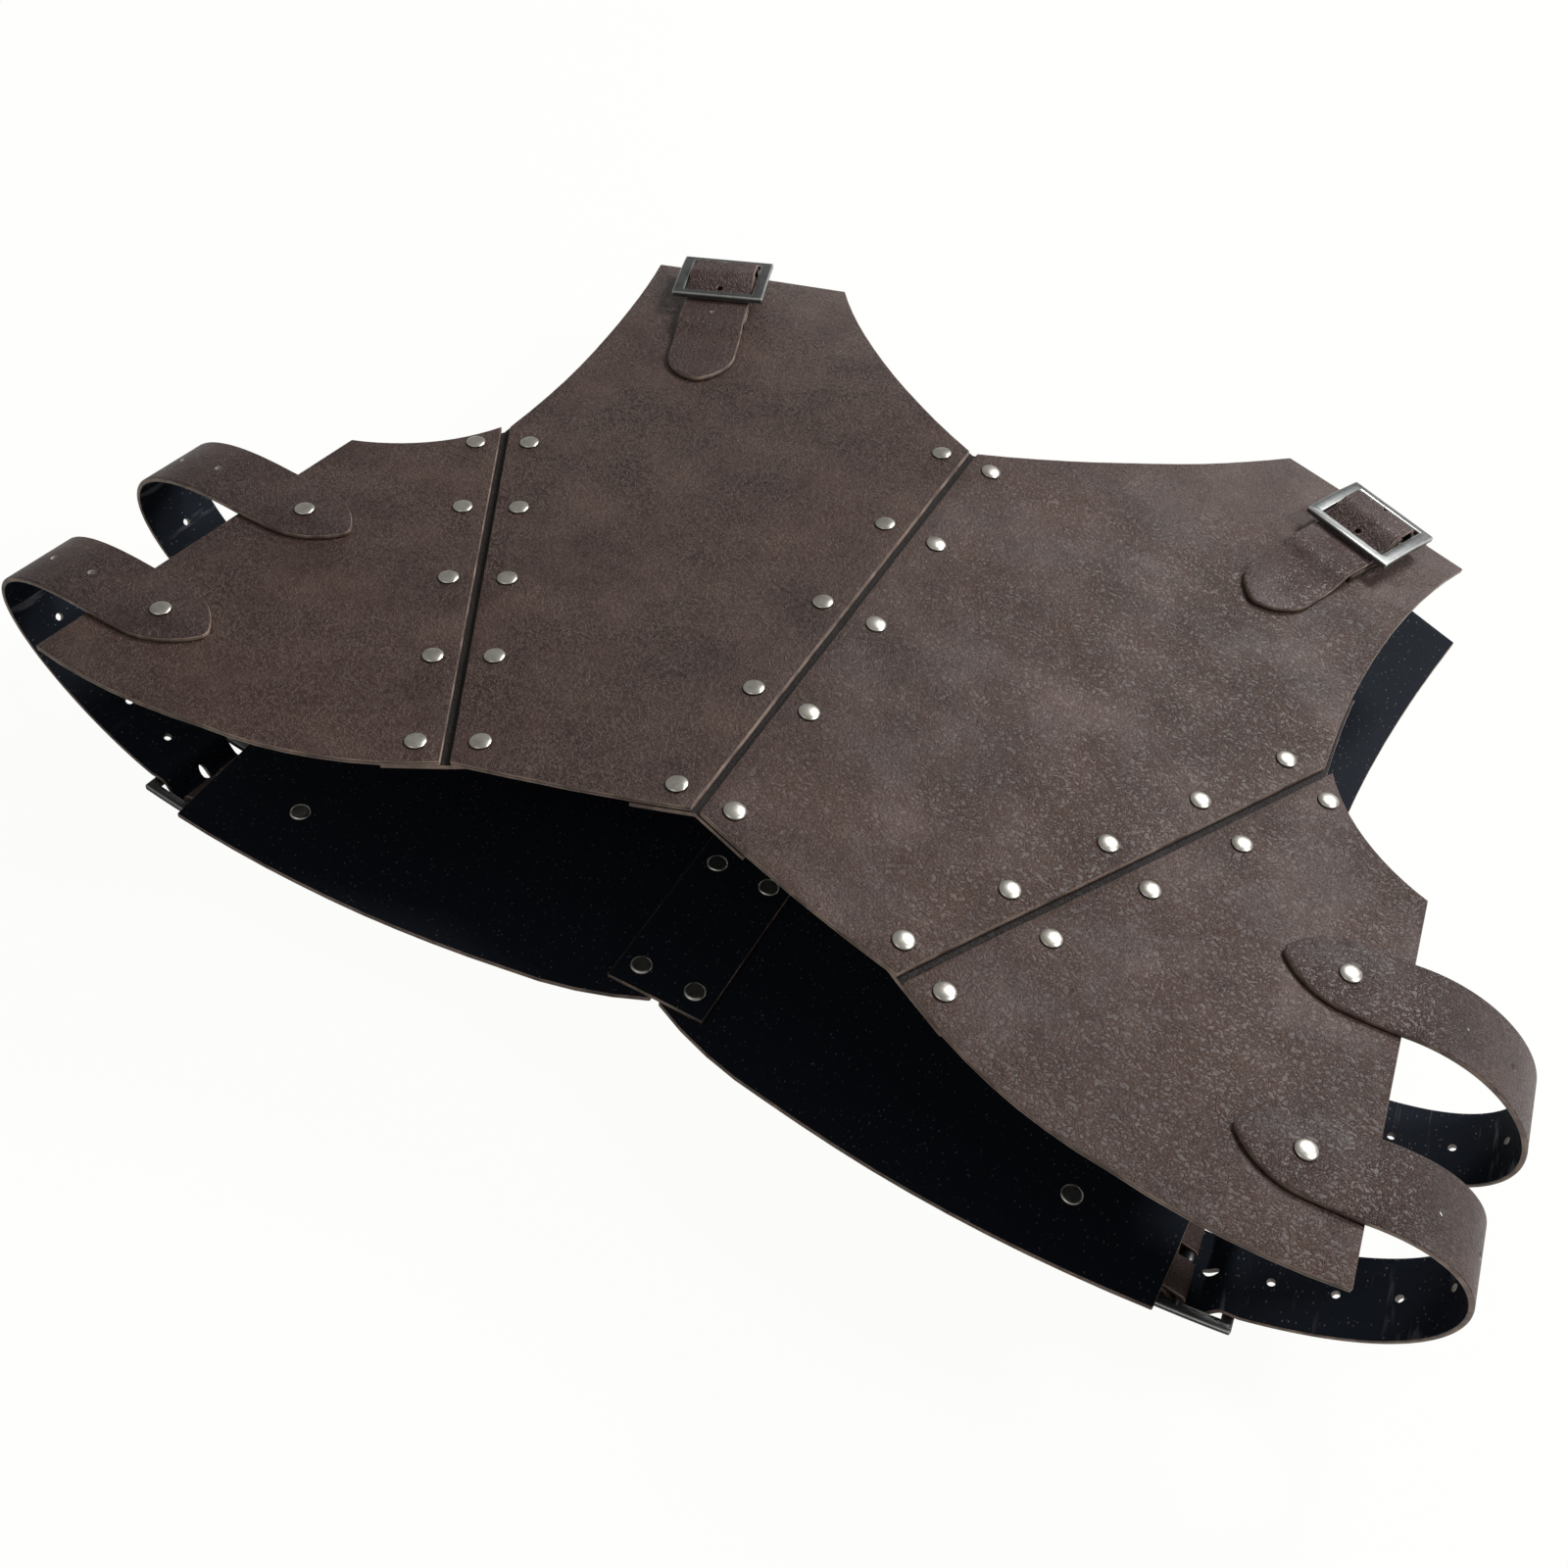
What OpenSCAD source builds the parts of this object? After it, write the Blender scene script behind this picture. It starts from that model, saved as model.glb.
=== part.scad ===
// Chest armour of riveted leather panels, laid on its back with the straps buckled.
// +Z is up, +Y runs to the neck, +X is to the right of someone looking at its front.
// The origin is the middle of the surface that it lies on.

/* [Leather] */
// Thickness of the chest, side and back panels
panel_t = 2.4; // [1.8:0.1:3.2]
// Thickness of the strips behind the seams
strip_t = 2; // [1.4:0.1:3]
// Thickness of the straps
strap_t = 2.4; // [1.8:0.1:2.8]
// Thickness of the thin leather folded round each buckle bar
chape_t = 1.6; // [1.2:0.1:2]
// Gap between two panels at a seam
seam_gap = 4; // [2:0.5:8]
// Width of the strips behind the seams
strip_w = 50; // [40:1:60]
// Width of the strip behind the spine seam
spine_w = 44; // [38:1:56]

/* [Chest panels] */
// Height of the centre seam above the straps that the armour lies on
ridge_h = 116; // [100:1:130]
// Slope of each chest panel down from the centre seam
chest_tilt = 6.5; // [3:0.5:10]
// Centre seam from its middle rivets up to the neck edge
neck_y = 131; // [127:1:140]
// Centre seam from its middle rivets down to the waist edge
waist_y = 131; // [127:1:145]
// Half of the neck opening between the shoulders
neck_half_w = 127.8; // [115:0.1:135]
// Inner shoulder corner above the middle rivets
shoulder_y = 257; // [245:1:270]
// Length of the shoulder edge
shoulder_w = 101.6; // [90:0.1:110]
// Fall of the shoulder edge towards the arm
shoulder_slope = 16; // [10:0.5:20]
// Depth of the neckline's curve
neck_sag = 10.5; // [4:0.5:16]
// Depth of the armhole's curve in the chest panel
armhole_sag = 9.5; // [4:0.5:14]
// Bulge of the chest panel's waist edge
waist_sag = 1.5; // [0:0.5:4]
// Where the chest panel starts to bend down to the shoulder
bend_y = 130; // [128:1:150]
// Radius of that bend
bend_r = 600; // [450:10:900]

/* [Side panels] */
// Top end of the side seam from the centre seam
seam_x = 204.6; // [198:0.1:210]
// Top end of the side seam above the middle rivets
seam_y = 49; // [40:1:60]
// Lean of the side seam from the centre line
seam_lean = 27.9; // [26:0.1:30]
// Length of the side seam
seam_len = 228.6; // [225:0.1:236]
// Fold at the side seam that lifts the side panel's outer edge
side_lift = 3.2; // [1:0.1:6]
// Armpit corner out from the side seam
armpit_out = 69.8; // [60:0.1:75]
// Armpit corner below the seam's top end
armpit_down = 15.3; // [10:0.1:20]
// Waist corner out from the side seam
hip_out = 170.9; // [165:0.1:180]
// Waist corner below the seam's top end
hip_down = 168.9; // [165:0.1:180]
// Lowest part of the waist edge out from the side seam
hem_out = 96.2; // [80:0.1:110]
// Lowest part of the waist edge below the seam's top end
hem_down = 211.6; // [205:0.1:220]
// Depth of the armhole's curve in the side panel
armpit_sag = 7; // [3:0.5:10]
// Bulge of the waist edge from the seam to its lowest part
hem_sag = 6.5; // [2:0.5:9]
// Bulge of the waist edge from its lowest part to the outer corner
hip_sag = 3.5; // [1:0.5:6]

/* [Back panels] */
// Outer edge of the back from the spine
back_half_w = 224; // [215:1:228]
// Middle of the neckline at the back above the middle rivets
back_neck_y = 126; // [122:1:134]
// Waist edge at the spine below the middle rivets
back_waist_y = 153; // [150:1:160]
// Waist corner of the back below the middle rivets
back_hip_y = 174; // [168:1:176]
// Bulge of the back's waist edge
back_waist_sag = 5.5; // [2:0.5:8]
// Armpit corner of the back above the middle rivets
back_armpit_y = 2; // [-8:1:12]
// Outer shoulder corner of the back from the spine
back_shoulder_x = 235.3; // [228:0.1:240]
// Outer shoulder corner of the back above the middle rivets
back_shoulder_y = 243.3; // [236:0.1:250]
// Length of the shoulder edge of the back
back_shoulder_w = 98; // [90:1:104]
// Fall of the shoulder edge of the back towards the arm
back_slope = 20.6; // [14:0.1:24]
// Fall of the back from the spine to the sides as it lies
back_roll = 0.65; // [0:0.05:2]
// Radius of the bend that lifts the shoulders of the back
back_bend_r = 600; // [500:10:700]
// Depth of the neckline's curve at the back
back_neck_sag = 12; // [6:0.5:18]
// Depth of the armhole's curve in the back
back_arm_sag = 9.8; // [5:0.1:14]
// Where the back's waist edge turns up to the spine, from the spine
back_low_x = 60.5; // [50:0.5:80]
// That point above the waist corner
back_low_rise = 4; // [0:0.5:8]
// Armpit corner of the back out past the waist corner
back_flare = 2; // [0:0.5:6]
// Tilt of the whole armour on its buckles, neck end down
lay_pitch = 4.3; // [3.8:0.1:4.5]

/* [Rivets] */
// Diameter of a rivet's domed cap
cap_d = 9; // [7:0.5:11]
// Height of the dome
cap_h = 1.7; // [1:0.1:2]
// Height of the flat cap on the inner side
disc_h = 0.8; // [0.5:0.1:0.8]
// Diameter of the rivet's shank
shank_d = 3.2; // [2.4:0.1:4]
// Distance between the two rows of rivets at a seam
row_gap = 25; // [20:0.5:28]
// Number of rivets in a row
row_count = 5; // [4:1:6]
// First and last rivets of the centre seam from its ends
centre_end = 8; // [7:0.5:20]
// First rivets of a side seam from its top end
side_first = 13.9; // [10:0.1:16]
// Last rivets of a side seam from its low end
side_last = 10.7; // [8:0.1:16]
// First rivets of the spine from its neck end
spine_first = 12; // [8:0.5:20]
// Last rivets of the spine from its waist end
spine_last = 11; // [8:0.5:20]

/* [Straps] */
// Width of the straps
strap_w = 36; // [30:1:38]
// Length of a strap's pointed end at its rivet
point_l = 30; // [24:1:34]
// Radius of the points at both ends of a strap
point_r = 5; // [2:0.5:8]
// Rivet from the tip of a strap
rivet_in = 25.5; // [22:0.5:30]
// Flat run of a strap from its rivet to where it leaves the panel
edge_run = 24; // [20:1:28]
// Diameter of the punched holes
hole_d = 3.4; // [3:0.1:4.5]
// Spacing of the punched holes
hole_pitch = 23.8; // [20:0.2:30]
// Rise of the side straps towards the neck as they leave the panel
strap_rise = 5.6; // [3:0.2:8]
// Upper side strap's rivet out from the side seam
upper_out = 80.5; // [76:0.1:84]
// Upper side strap's rivet below the side seam's top end
upper_down = 74.4; // [68:0.1:78]
// Lower side strap's rivet out from the side seam
lower_out = 126.1; // [122:0.1:130]
// Lower side strap's rivet below the side seam's top end
lower_down = 146.4; // [138:0.1:150]
// Least distance from a hole to the strap's free end, and to where it leaves the panel
hole_margin = 12; // [8:1:20]
// Holes at most before the one that the prong is in
holes_before = 9; // [2:1:9]
// Holes at most after it
holes_after = 2; // [0:1:2]
// Free end of a side strap past its buckle bar
side_tail = 82; // [70:1:95]
// Length of the rounded free end
round_l = 21.6; // [14:0.2:26]
// Width of the shoulder straps
shoulder_strap_w = 33; // [28:1:36]
// Free end of a shoulder strap past its buckle bar
shoulder_tail = 91; // [80:1:98]
// Fullness at the front of the right upper, right lower, left upper and left lower loops
loop_front = [59, 58.5, 111, 106]; // [40:0.5:130]
// Fullness at the back of the same four loops
loop_back = [117.5, 92.8, 75.5, 59.5]; // [40:0.1:150]
// Angle at which each of the four loops springs up from the front panel
front_turn = [5.5, 7.3, 4, 3.5]; // [-12:0.1:12]
// Angle at which each comes in under the back
back_turn = [-1, 14.6, 8, 14.7]; // [-6:0.1:20]
// Fullness of a shoulder loop where it leaves the back
nape_back = 24; // [18:1:30]
// Fullness of a shoulder loop where it comes up to the buckle
nape_front = 28; // [24:1:36]

/* [Buckles] */
// Length of a buckle frame along the strap
frame_l = 44; // [42:1:50]
// Width of the end bars
bar_w = 4.4; // [3.5:0.1:4.8]
// Width of the side bars beside a side strap
side_w = 4.4; // [3:0.1:5]
// Thickness of the frame
frame_t = 3; // [2:0.1:3.4]
// Bevel on the frame's edges
bevel = 0.8; // [0.3:0.1:1]
// Diameter of the centre bar
bar_d = 3.2; // [2.8:0.1:3.6]
// Room between the strap and the frame's side bars
side_play = 1; // [0.8:0.1:2.5]
// Room between the strap and an end bar
thread_gap = 0.8; // [0.7:0.1:1.2]
// Thickness of the prong
prong_t = 1.4; // [1:0.1:1.8]
// Width of the prong at its loop
prong_w = 4; // [3:0.1:5]
// Width of the prong's point
tip_w = 2.6; // [2:0.1:2.8]
// Buckle bar of a side strap out past the back's edge
side_bar_out = 5.5; // [4:0.1:12]
// Drift of the lower straps towards the waist on their way to their buckles
lower_drift = 0.4; // [0:0.1:5]
// Buckle bar of a shoulder strap in from the shoulder edge
shoulder_bar_in = 32.5; // [30:0.1:36]
// The same bar's middle along the shoulder edge from its inner corner
shoulder_bar_along = 59.3; // [54:0.1:64]
// Turn of the shoulder straps from the centre line
shoulder_lean = 20; // [16:0.5:24]
// Length of the folded leather of a side buckle
side_chape = 58; // [54:1:64]
// Rivet of that fold from the bar
side_chape_rivet = 49; // [46:1:50]
// Length of the folded leather of a shoulder buckle
shoulder_chape = 36; // [34:1:40]
// Rivet of that fold from the bar
shoulder_chape_rivet = 29; // [28:0.5:30]

/* [Hidden] */
SIDES = ["right", "left"];

// Colours as the photograph shows them
brown = "#3f302e";
edge_brown = "#4a3935";
nickel = "#b9b6b0";
pewter = "#6f706e";

// Steps along a curved edge, along a bend and along the parts of a strap
ARC_STEPS = 12;
BEND_STEPS = 16;
LOOP_STEPS = 30;
RAMP_STEPS = 6;
TIP_STEPS = 7;
// Number of the strap's station where it starts to climb over the bar
FIRST_RAMP = TIP_STEPS + 1 + 1 + LOOP_STEPS + 1;
DOME_STEPS = 5;
ROUND = 48;
// Height of a rivet cap's straight rim, and the bevel on its flat head
RIM = 0.4;
// Taller than any panel, for cutting an outline out of a bent sheet
DEEP = 200;
// Small air gap between two pieces that only touch
AIR = 0.15;
// Half of the way between the round ends of a prong's slot
SLOT_RUN = 2.8;
// How far a cut runs past the solid
PAST = 2;
// How far two outlines cross at a seam, where a strip lies behind both
CROSS = 0.5;
// Half of the width at the very end of a strap's point
BLUNT = 1.4;

bar_r = bar_d / 2;
shank_r = shank_d / 2;
cap_r = cap_d / 2;
hole_r = hole_d / 2;
// Radial room of the bar in its leather fold and in the prong's loop
fold_gap = 0.25;
loop_gap = 0.06;
// Room of the folded leather in the frame's window, and of the prong in the fold's slot
fold_play = 0.9;
slot_play = 0.6;
// Height of the prong above the frame, its reach past the frame's end, and its wide part
prong_lift = 0.3;
prong_past = 1.5;
prong_neck = 7;
// Length over which the prong narrows past its wide part
prong_ease = 2;
// Room between the folded leather and the strap over the bar
crest_gap = 0.3;
// Room between the folded leather and the strap's free end, for a rivet's flat head
seat_gap = disc_h + 0.2;
fold_r = bar_r + fold_gap;
fold_out_r = fold_r + chape_t;
// Heights of the strap's middle over the bar and under the end bars, from the bar's axis
crest_z = max(fold_out_r, frame_t / 2 + prong_lift + prong_t) + crest_gap + strap_t / 2;
under_z = -(frame_t / 2 + thread_gap + strap_t / 2);
// Height of the bar's axis above the panel that carries the buckle
bar_lift = -under_z + strap_t / 2 + seat_gap + 2 * chape_t;
// Height of the back panel's outer face above the straps' crests
stack_h = bar_lift + crest_z + strap_t / 2;
// All frames have one outer size, and the window leaves the same room beside either strap
function window_of(w) = w + 2 * side_play;
function chape_of(w) = window_of(w) - 2 * fold_play;
frame_w = window_of(strap_w) + 2 * side_w;

function tr(x, y, z) = [[1, 0, 0, x], [0, 1, 0, y], [0, 0, 1, z], [0, 0, 0, 1]];
function rx(a) = [[1, 0, 0, 0], [0, cos(a), -sin(a), 0], [0, sin(a), cos(a), 0], [0, 0, 0, 1]];
function ry(a) = [[cos(a), 0, sin(a), 0], [0, 1, 0, 0], [-sin(a), 0, cos(a), 0], [0, 0, 0, 1]];
function rz(a) = [[cos(a), -sin(a), 0, 0], [sin(a), cos(a), 0, 0], [0, 0, 1, 0], [0, 0, 0, 1]];
function at(m, p) = let (q = m * [p[0], p[1], p[2], 1]) [q[0], q[1], q[2]];
function along(m, p) = let (q = m * [p[0], p[1], p[2], 0]) [q[0], q[1], q[2]];
function unit(v) = v / norm(v);
function mix(a, b, t) = a * (1 - t) + b * t;

// Points of a circular arc from a to b, without a and with b. A positive sag bows to the left.
function arc(a, b, sag, steps = ARC_STEPS) =
    let (c = norm(b - a),
         d = (b - a) / c,
         n = [-d[1], d[0]],
         half = 2 * atan(2 * sag / c),
         r = abs(sag) < 0.01 ? 0 : c / (2 * sin(half)))
    [for (i = [1:steps])
        let (t = i / steps, w = half * (2 * t - 1))
        abs(sag) < 0.01 ? mix(a, b, t) : (a + b) / 2 + d * r * sin(w) + n * r * (cos(w) - cos(half))];

// Side view of a flat sheet that bends past a line: lies on y = 0, curl 1 bends down, -1 up
function bent_sheet(t, line, r, from, to, curl) =
    let (sweep = asin((to - line) / r),
         top = curl > 0 ? 0 : t,
         low = curl > 0 ? -t : 0,
         r_top = curl > 0 ? r : r - t,
         r_low = curl > 0 ? r - t : r,
         mid = curl > 0 ? -r : r)
    concat([[from, low], [from, top], [line, top]],
           [for (i = [1:BEND_STEPS]) let (w = sweep * i / BEND_STEPS)
               [line + r_top * sin(w), mid + curl * r_top * cos(w)]],
           [for (i = [BEND_STEPS:-1:1]) let (w = sweep * i / BEND_STEPS)
               [line + r_low * sin(w), mid + curl * r_low * cos(w)]],
           [[line, low]]);

// Frame on the outer face of a sheet bent like that, at a point of its plan
function on_sheet(x, y, line, r, curl) =
    let (w = y > line ? asin((y - line) / r) : 0)
    tr(x, y, curl * r * (cos(w) - 1)) * rx(-curl * w);

// The whole armour is tipped about the neck side of the upper straps' crests
upper_rivet_flat = at(seam_plan(), [upper_out, -upper_down, 0]);
function seam_plan() = tr(seam_x, seam_y, 0) * rz(-seam_lean);
tip_y = upper_rivet_flat[1] + strap_w / 2;
function tipped() = tr(0, tip_y, 0) * rx(-lay_pitch) * tr(0, -tip_y, 0);

function chest0() = tipped() * tr(0, 0, ridge_h) * ry(chest_tilt);
function side0() = chest0() * seam_plan() * ry(-side_lift);
side_bar_x = back_half_w + side_bar_out;
back_z = stack_h + side_bar_x * sin(back_roll);
function back0() = tipped() * tr(0, 0, back_z) * ry(back_roll);

// Outlines: chest and back in plan from the middle of the seam, side panel from its seam.
// A gap draws the seam edges back from the seam line.
seam_dir = [sin(seam_lean), cos(seam_lean)];
seam_out = [cos(seam_lean), -sin(seam_lean)];
seam_top = [seam_x, seam_y];
seam_low = seam_top - seam_len * seam_dir;
shoulder_in = [neck_half_w, shoulder_y];
shoulder_dir = [cos(shoulder_slope), -sin(shoulder_slope)];
shoulder_out = shoulder_in + shoulder_w * shoulder_dir;
function chest_outline(gap) =
    let (a = [gap, neck_y],
         b = seam_top - gap * seam_out,
         c = seam_low - gap * seam_out,
         d = [gap, -waist_y])
    concat([a], arc(a, shoulder_in, -neck_sag), [shoulder_out], arc(shoulder_out, b, -armhole_sag),
           [c], arc(c, d, waist_sag, 4));
function side_outline(gap) =
    let (a = [gap, 0], b = [armpit_out, -armpit_down], c = [hip_out, -hip_down],
         d = [hem_out, -hem_down], e = [gap, -seam_len])
    concat([a], arc(a, b, -armpit_sag), [c], arc(c, d, hip_sag, 6), arc(d, e, hem_sag, 8));
back_out = [back_shoulder_x, back_shoulder_y];
back_in = back_out - back_shoulder_w * [cos(back_slope), -sin(back_slope)];
function back_outline(gap) =
    let (a = [gap, back_neck_y], b = [back_half_w + back_flare, back_armpit_y],
         c = [back_half_w, -back_hip_y], d = [back_low_x, -back_hip_y + back_low_rise],
         e = [gap, -back_waist_y])
    concat([a], arc(a, back_in, -back_neck_sag), [back_out], arc(back_out, b, -back_arm_sag),
           [c], arc(c, d, back_waist_sag, 10), arc(d, e, back_waist_sag / 2, 4));

// The armour's middle along Y, from its lowest hem to its highest shoulder corner
hem_ys = [for (p = side_outline(seam_gap / 2)) for (z = [0, -panel_t]) at(side0(), [p[0], p[1], z])[1]];
nape_corner = on_sheet(back_in[0], back_in[1], back_neck_y, back_bend_r, -1);
nape_ys = [for (z = [0, panel_t]) at(back0(), at(nape_corner, [0, 0, z]))[1]];
mid_y = (min(hem_ys) + max(nape_ys)) / 2;
placed = tr(0, -mid_y, 0);
CHEST = placed * chest0();
SIDE = placed * side0();
BACK = placed * back0();

// Two rows of rivets, evenly spaced from the first pair's height to the last pair's
function row_places(first, last) =
    [for (i = [0:row_count - 1]) for (s = [-1, 1])
        [s * row_gap / 2, mix(first, last, i / (row_count - 1))]];
centre_places = row_places(neck_y - centre_end, centre_end - waist_y);
side_places = row_places(-side_first, side_last - seam_len);
spine_places = row_places(back_neck_y - spine_first, spine_last - back_waist_y);
function right_of(list) = [for (p = list) if (p[0] > 0) p];
function left_of(list) = [for (p = list) if (p[0] < 0) p];

// Anchor of each strap, with +Z out of the leather and +X the way the strap leaves
function side_anchor(out, down) = SIDE * tr(out, -down, 0) * rz(seam_lean + strap_rise);
function plan_of(m) = at(inverse(placed * tipped()), at(m, [0, 0, 0]));
// Inverse of a frame that only turns and moves
function inverse(m) =
    let (r = [for (i = [0:2]) [m[0][i], m[1][i], m[2][i]]],
         p = r * [m[0][3], m[1][3], m[2][3]])
    [[r[0][0], r[0][1], r[0][2], -p[0]], [r[1][0], r[1][1], r[1][2], -p[1]],
     [r[2][0], r[2][1], r[2][2], -p[2]], [0, 0, 0, 1]];
// Buckle frame: origin on the bar's axis, +X the way the free end goes, +Z out of the leather
function side_buckle(anchor, drift) =
    let (p = plan_of(anchor), y = p[1] - (p[0] - side_bar_x) * tan(strap_rise) - drift)
    BACK * tr(side_bar_x, y, 0) * rx(180) * rz(180 - strap_rise) * tr(0, 0, bar_lift);
shoulder_bar = shoulder_in + shoulder_bar_along * shoulder_dir
    - shoulder_bar_in * [-shoulder_dir[1], shoulder_dir[0]];
shoulder_way = [sin(shoulder_lean), cos(shoulder_lean)];
// Frame on the chest panel under the shoulder strap, at a distance from the bar
function chest_run(q) =
    let (p = shoulder_bar - q * shoulder_way)
    CHEST * on_sheet(p[0], p[1], bend_y, bend_r, 1) * rz(-90 - shoulder_lean);
shoulder_seat = chest_run(shoulder_chape_rivet);
shoulder_frame = shoulder_seat * tr(-shoulder_chape_rivet, 0, bar_lift + AIR);
// Where the line of the shoulder strap crosses the shoulder edge of the back
edge_reach = let (e = [cos(back_slope), -sin(back_slope)], n = [-e[1], e[0]])
    ((back_out - shoulder_bar) * n) / (shoulder_way * n);
nape_rivet = shoulder_bar + (edge_reach - edge_run) * shoulder_way;
nape_anchor = BACK * on_sheet(nape_rivet[0], nape_rivet[1], back_neck_y, back_bend_r, -1)
    * rx(180) * rz(-90 + shoulder_lean);

// A strap is a list of stations: middle, direction across, half width
function station(m, x, z, half) = [at(m, [x, 0, z]), along(m, [0, 1, 0]), half];
// Half width near a strap's end: a small round point between two arcs that run into the straight sides
function tip_half(x, l, w) =
    let (half = w / 2,
         reach = l - point_r,
         r = (reach * reach / (half - point_r) + point_r + half) / 2,
         tangent_x = point_r * (1 - reach / (r - point_r)))
    x < tangent_x
        ? max(BLUNT, sqrt(max(0, point_r * point_r - pow(point_r - x, 2))))
        : sqrt(r * r - pow(l - x, 2)) - (r - half);
function tip_at(i, l) = l * (1 - cos(90 * i / TIP_STEPS));
function bezier(a, b, c, d, t) =
    a * pow(1 - t, 3) + b * 3 * pow(1 - t, 2) * t + c * 3 * (1 - t) * t * t + d * pow(t, 3);
// Ramps of the threaded strap, from under an end bar up to the crest over the bar: the first one's
// length, its room from the end bar, half of the flat crest, and the flat run past the frame
ramp_w = 8.5;
ramp_room = 0.6;
crest_half = 2;
thread_lead = 1;
ramp_end = frame_l / 2 - bar_w - ramp_room;
function threaded_z(x) =
    let (t = (ramp_end - abs(x)) / ramp_w, u = x < 0 ? t : (ramp_end - x) / (ramp_end - crest_half))
    under_z + (crest_z - under_z) * (1 - cos(180 * min(1, max(0, u)))) / 2;
thread_in = frame_l / 2 + thread_lead;
// Flat run of the strap before its loop starts
LEAD = 3;
// Stations from the pointed end at the rivet, round the loop and through the buckle
function strap_start(m, w) =
    concat([for (i = [0:TIP_STEPS]) let (x = tip_at(i, point_l))
                station(m, x - rivet_in, strap_t / 2, tip_half(x, point_l, w))],
           [station(m, edge_run - LEAD, strap_t / 2, w / 2)]);
function strap_loop(m, b, w, h0, a0, h1, a1) =
    let (p0 = at(m, [edge_run, 0, strap_t / 2]),
         p1 = at(m, [edge_run + h0 * cos(a0), 0, strap_t / 2 + h0 * sin(a0)]),
         p3 = at(b, [-thread_in, 0, under_z]),
         p2 = at(b, [-thread_in - h1 * cos(a1), 0, under_z - h1 * sin(a1)]),
         w0 = along(m, [0, 1, 0]),
         w1 = along(b, [0, 1, 0]))
    [for (i = [0:LOOP_STEPS]) let (t = i / LOOP_STEPS)
        [bezier(p0, p1, p2, p3, t), unit(mix(w0, w1, t)), w / 2]];
function strap_threaded(b, w) =
    [for (x = concat([-ramp_end], [for (i = [1:RAMP_STEPS]) -ramp_end + ramp_w * i / RAMP_STEPS],
                     [-crest_half, crest_half],
                     [for (i = [1:RAMP_STEPS]) mix(crest_half, ramp_end, i / RAMP_STEPS)], [thread_in]))
        [at(b, [x, 0, threaded_z(x)]), along(b, [0, 1, 0]), w / 2]];
function side_end(b) =
    [for (i = [TIP_STEPS:-1:0]) let (x = tip_at(i, round_l))
        [at(b, [side_tail - x, 0, under_z]), along(b, [0, 1, 0]), tip_half(x, round_l, strap_w)]];
// The shoulder strap's free end clears the folded leather and then comes down to lie on the chest
fold_clear = 2;
drop_l = 16;
DROP_STEPS = 6;
function shoulder_end(b) =
    let (from = shoulder_chape + fold_clear, to = from + drop_l,
         lie = strap_t / 2 + AIR,
         p0 = at(b, [from, 0, under_z]), p3 = at(chest_run(to), [0, 0, lie]),
         p1 = at(b, [from + drop_l / 2, 0, under_z]), p2 = at(chest_run(to - drop_l / 2), [0, 0, lie]),
         w0 = along(b, [0, 1, 0]), w1 = along(chest_run(to), [0, 1, 0]))
    concat([for (i = [1:DROP_STEPS]) let (t = i / DROP_STEPS)
               [bezier(p0, p1, p2, p3, t), unit(mix(w0, w1, t)), shoulder_strap_w / 2]],
           [for (i = [TIP_STEPS:-1:0]) let (x = tip_at(i, round_l), m = chest_run(shoulder_tail - x))
               [at(m, [0, 0, lie]), along(m, [0, 1, 0]), tip_half(x, round_l, shoulder_strap_w)]]);

function tangent(s, i) = unit(s[min(i + 1, len(s) - 1)][0] - s[max(i - 1, 0)][0]);
function across(s, i) = let (t = tangent(s, i), w = s[i][1]) unit(w - (w * t) * t);
function corners(s, i) =
    let (w = across(s, i) * s[i][2], n = cross(tangent(s, i), across(s, i)) * strap_t / 2, p = s[i][0])
    [p - w - n, p + w - n, p + w + n, p - w + n];

// Skin of four-cornered rings joined one after the other, closed at both ends
module rings(list) {
    last = len(list) - 1;
    points = [for (r = list) for (p = r) p];
    walls = [for (i = [0:last - 1]) for (k = [0:3])
        let (a = 4 * i + k, b = 4 * i + (k + 1) % 4)
        each [[a, b, b + 4], [a, b + 4, a + 4]]];
    e = 4 * last;
    ends = [[0, 3, 2], [0, 2, 1], [e, e + 1, e + 2], [e, e + 2, e + 3]];
    polyhedron(points, [for (f = concat(walls, ends)) [f[0], f[2], f[1]]]);
}

// Lengths along a strap, for its punched holes
function lengths(s) = [for (i = 0, d = 0; i < len(s); i = i + 1,
    d = d + (i < len(s) ? norm(s[i][0] - s[i - 1][0]) : 0)) d];
function place_at(s, d, l) =
    let (i = min([for (k = [0:len(d) - 2]) if (d[k + 1] > l) k]),
         t = (l - d[i]) / (d[i + 1] - d[i]),
         y = unit(s[i + 1][0] - s[i][0]),
         x = across(s, i), z = cross(x, y), p = mix(s[i][0], s[i + 1][0], t))
    [[x[0], y[0], z[0], p[0]], [x[1], y[1], z[1], p[1]], [x[2], y[2], z[2], p[2]], [0, 0, 0, 1]];

module place(m) {
    multmatrix(m) children();
}

module side_of(side) {
    if (side == "left") mirror([1, 0, 0]) children();
    else children();
}

// Rivet through leather of a given thickness, with its face at z = 0 and the dome on top
module rivet(grip, dome = cap_h) {
    r = cap_r;
    rim = min(RIM, dome / 2);
    rotate_extrude($fn = ROUND)
        polygon(concat(
            [[0, -grip - disc_h], [r - RIM, -grip - disc_h], [r, -grip - disc_h + RIM], [r, -grip],
             [shank_r, -grip], [shank_r, 0], [r, 0], [r, rim]],
            [for (i = [1:DOME_STEPS]) let (w = 90 * i / DOME_STEPS)
                [r * cos(w), rim + (dome - rim) * sin(w)]]));
}

module shank_hole(grip) {
    translate([0, 0, -grip - PAST]) cylinder(r = shank_r, h = grip + 2 * PAST, $fn = ROUND);
}

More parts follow.
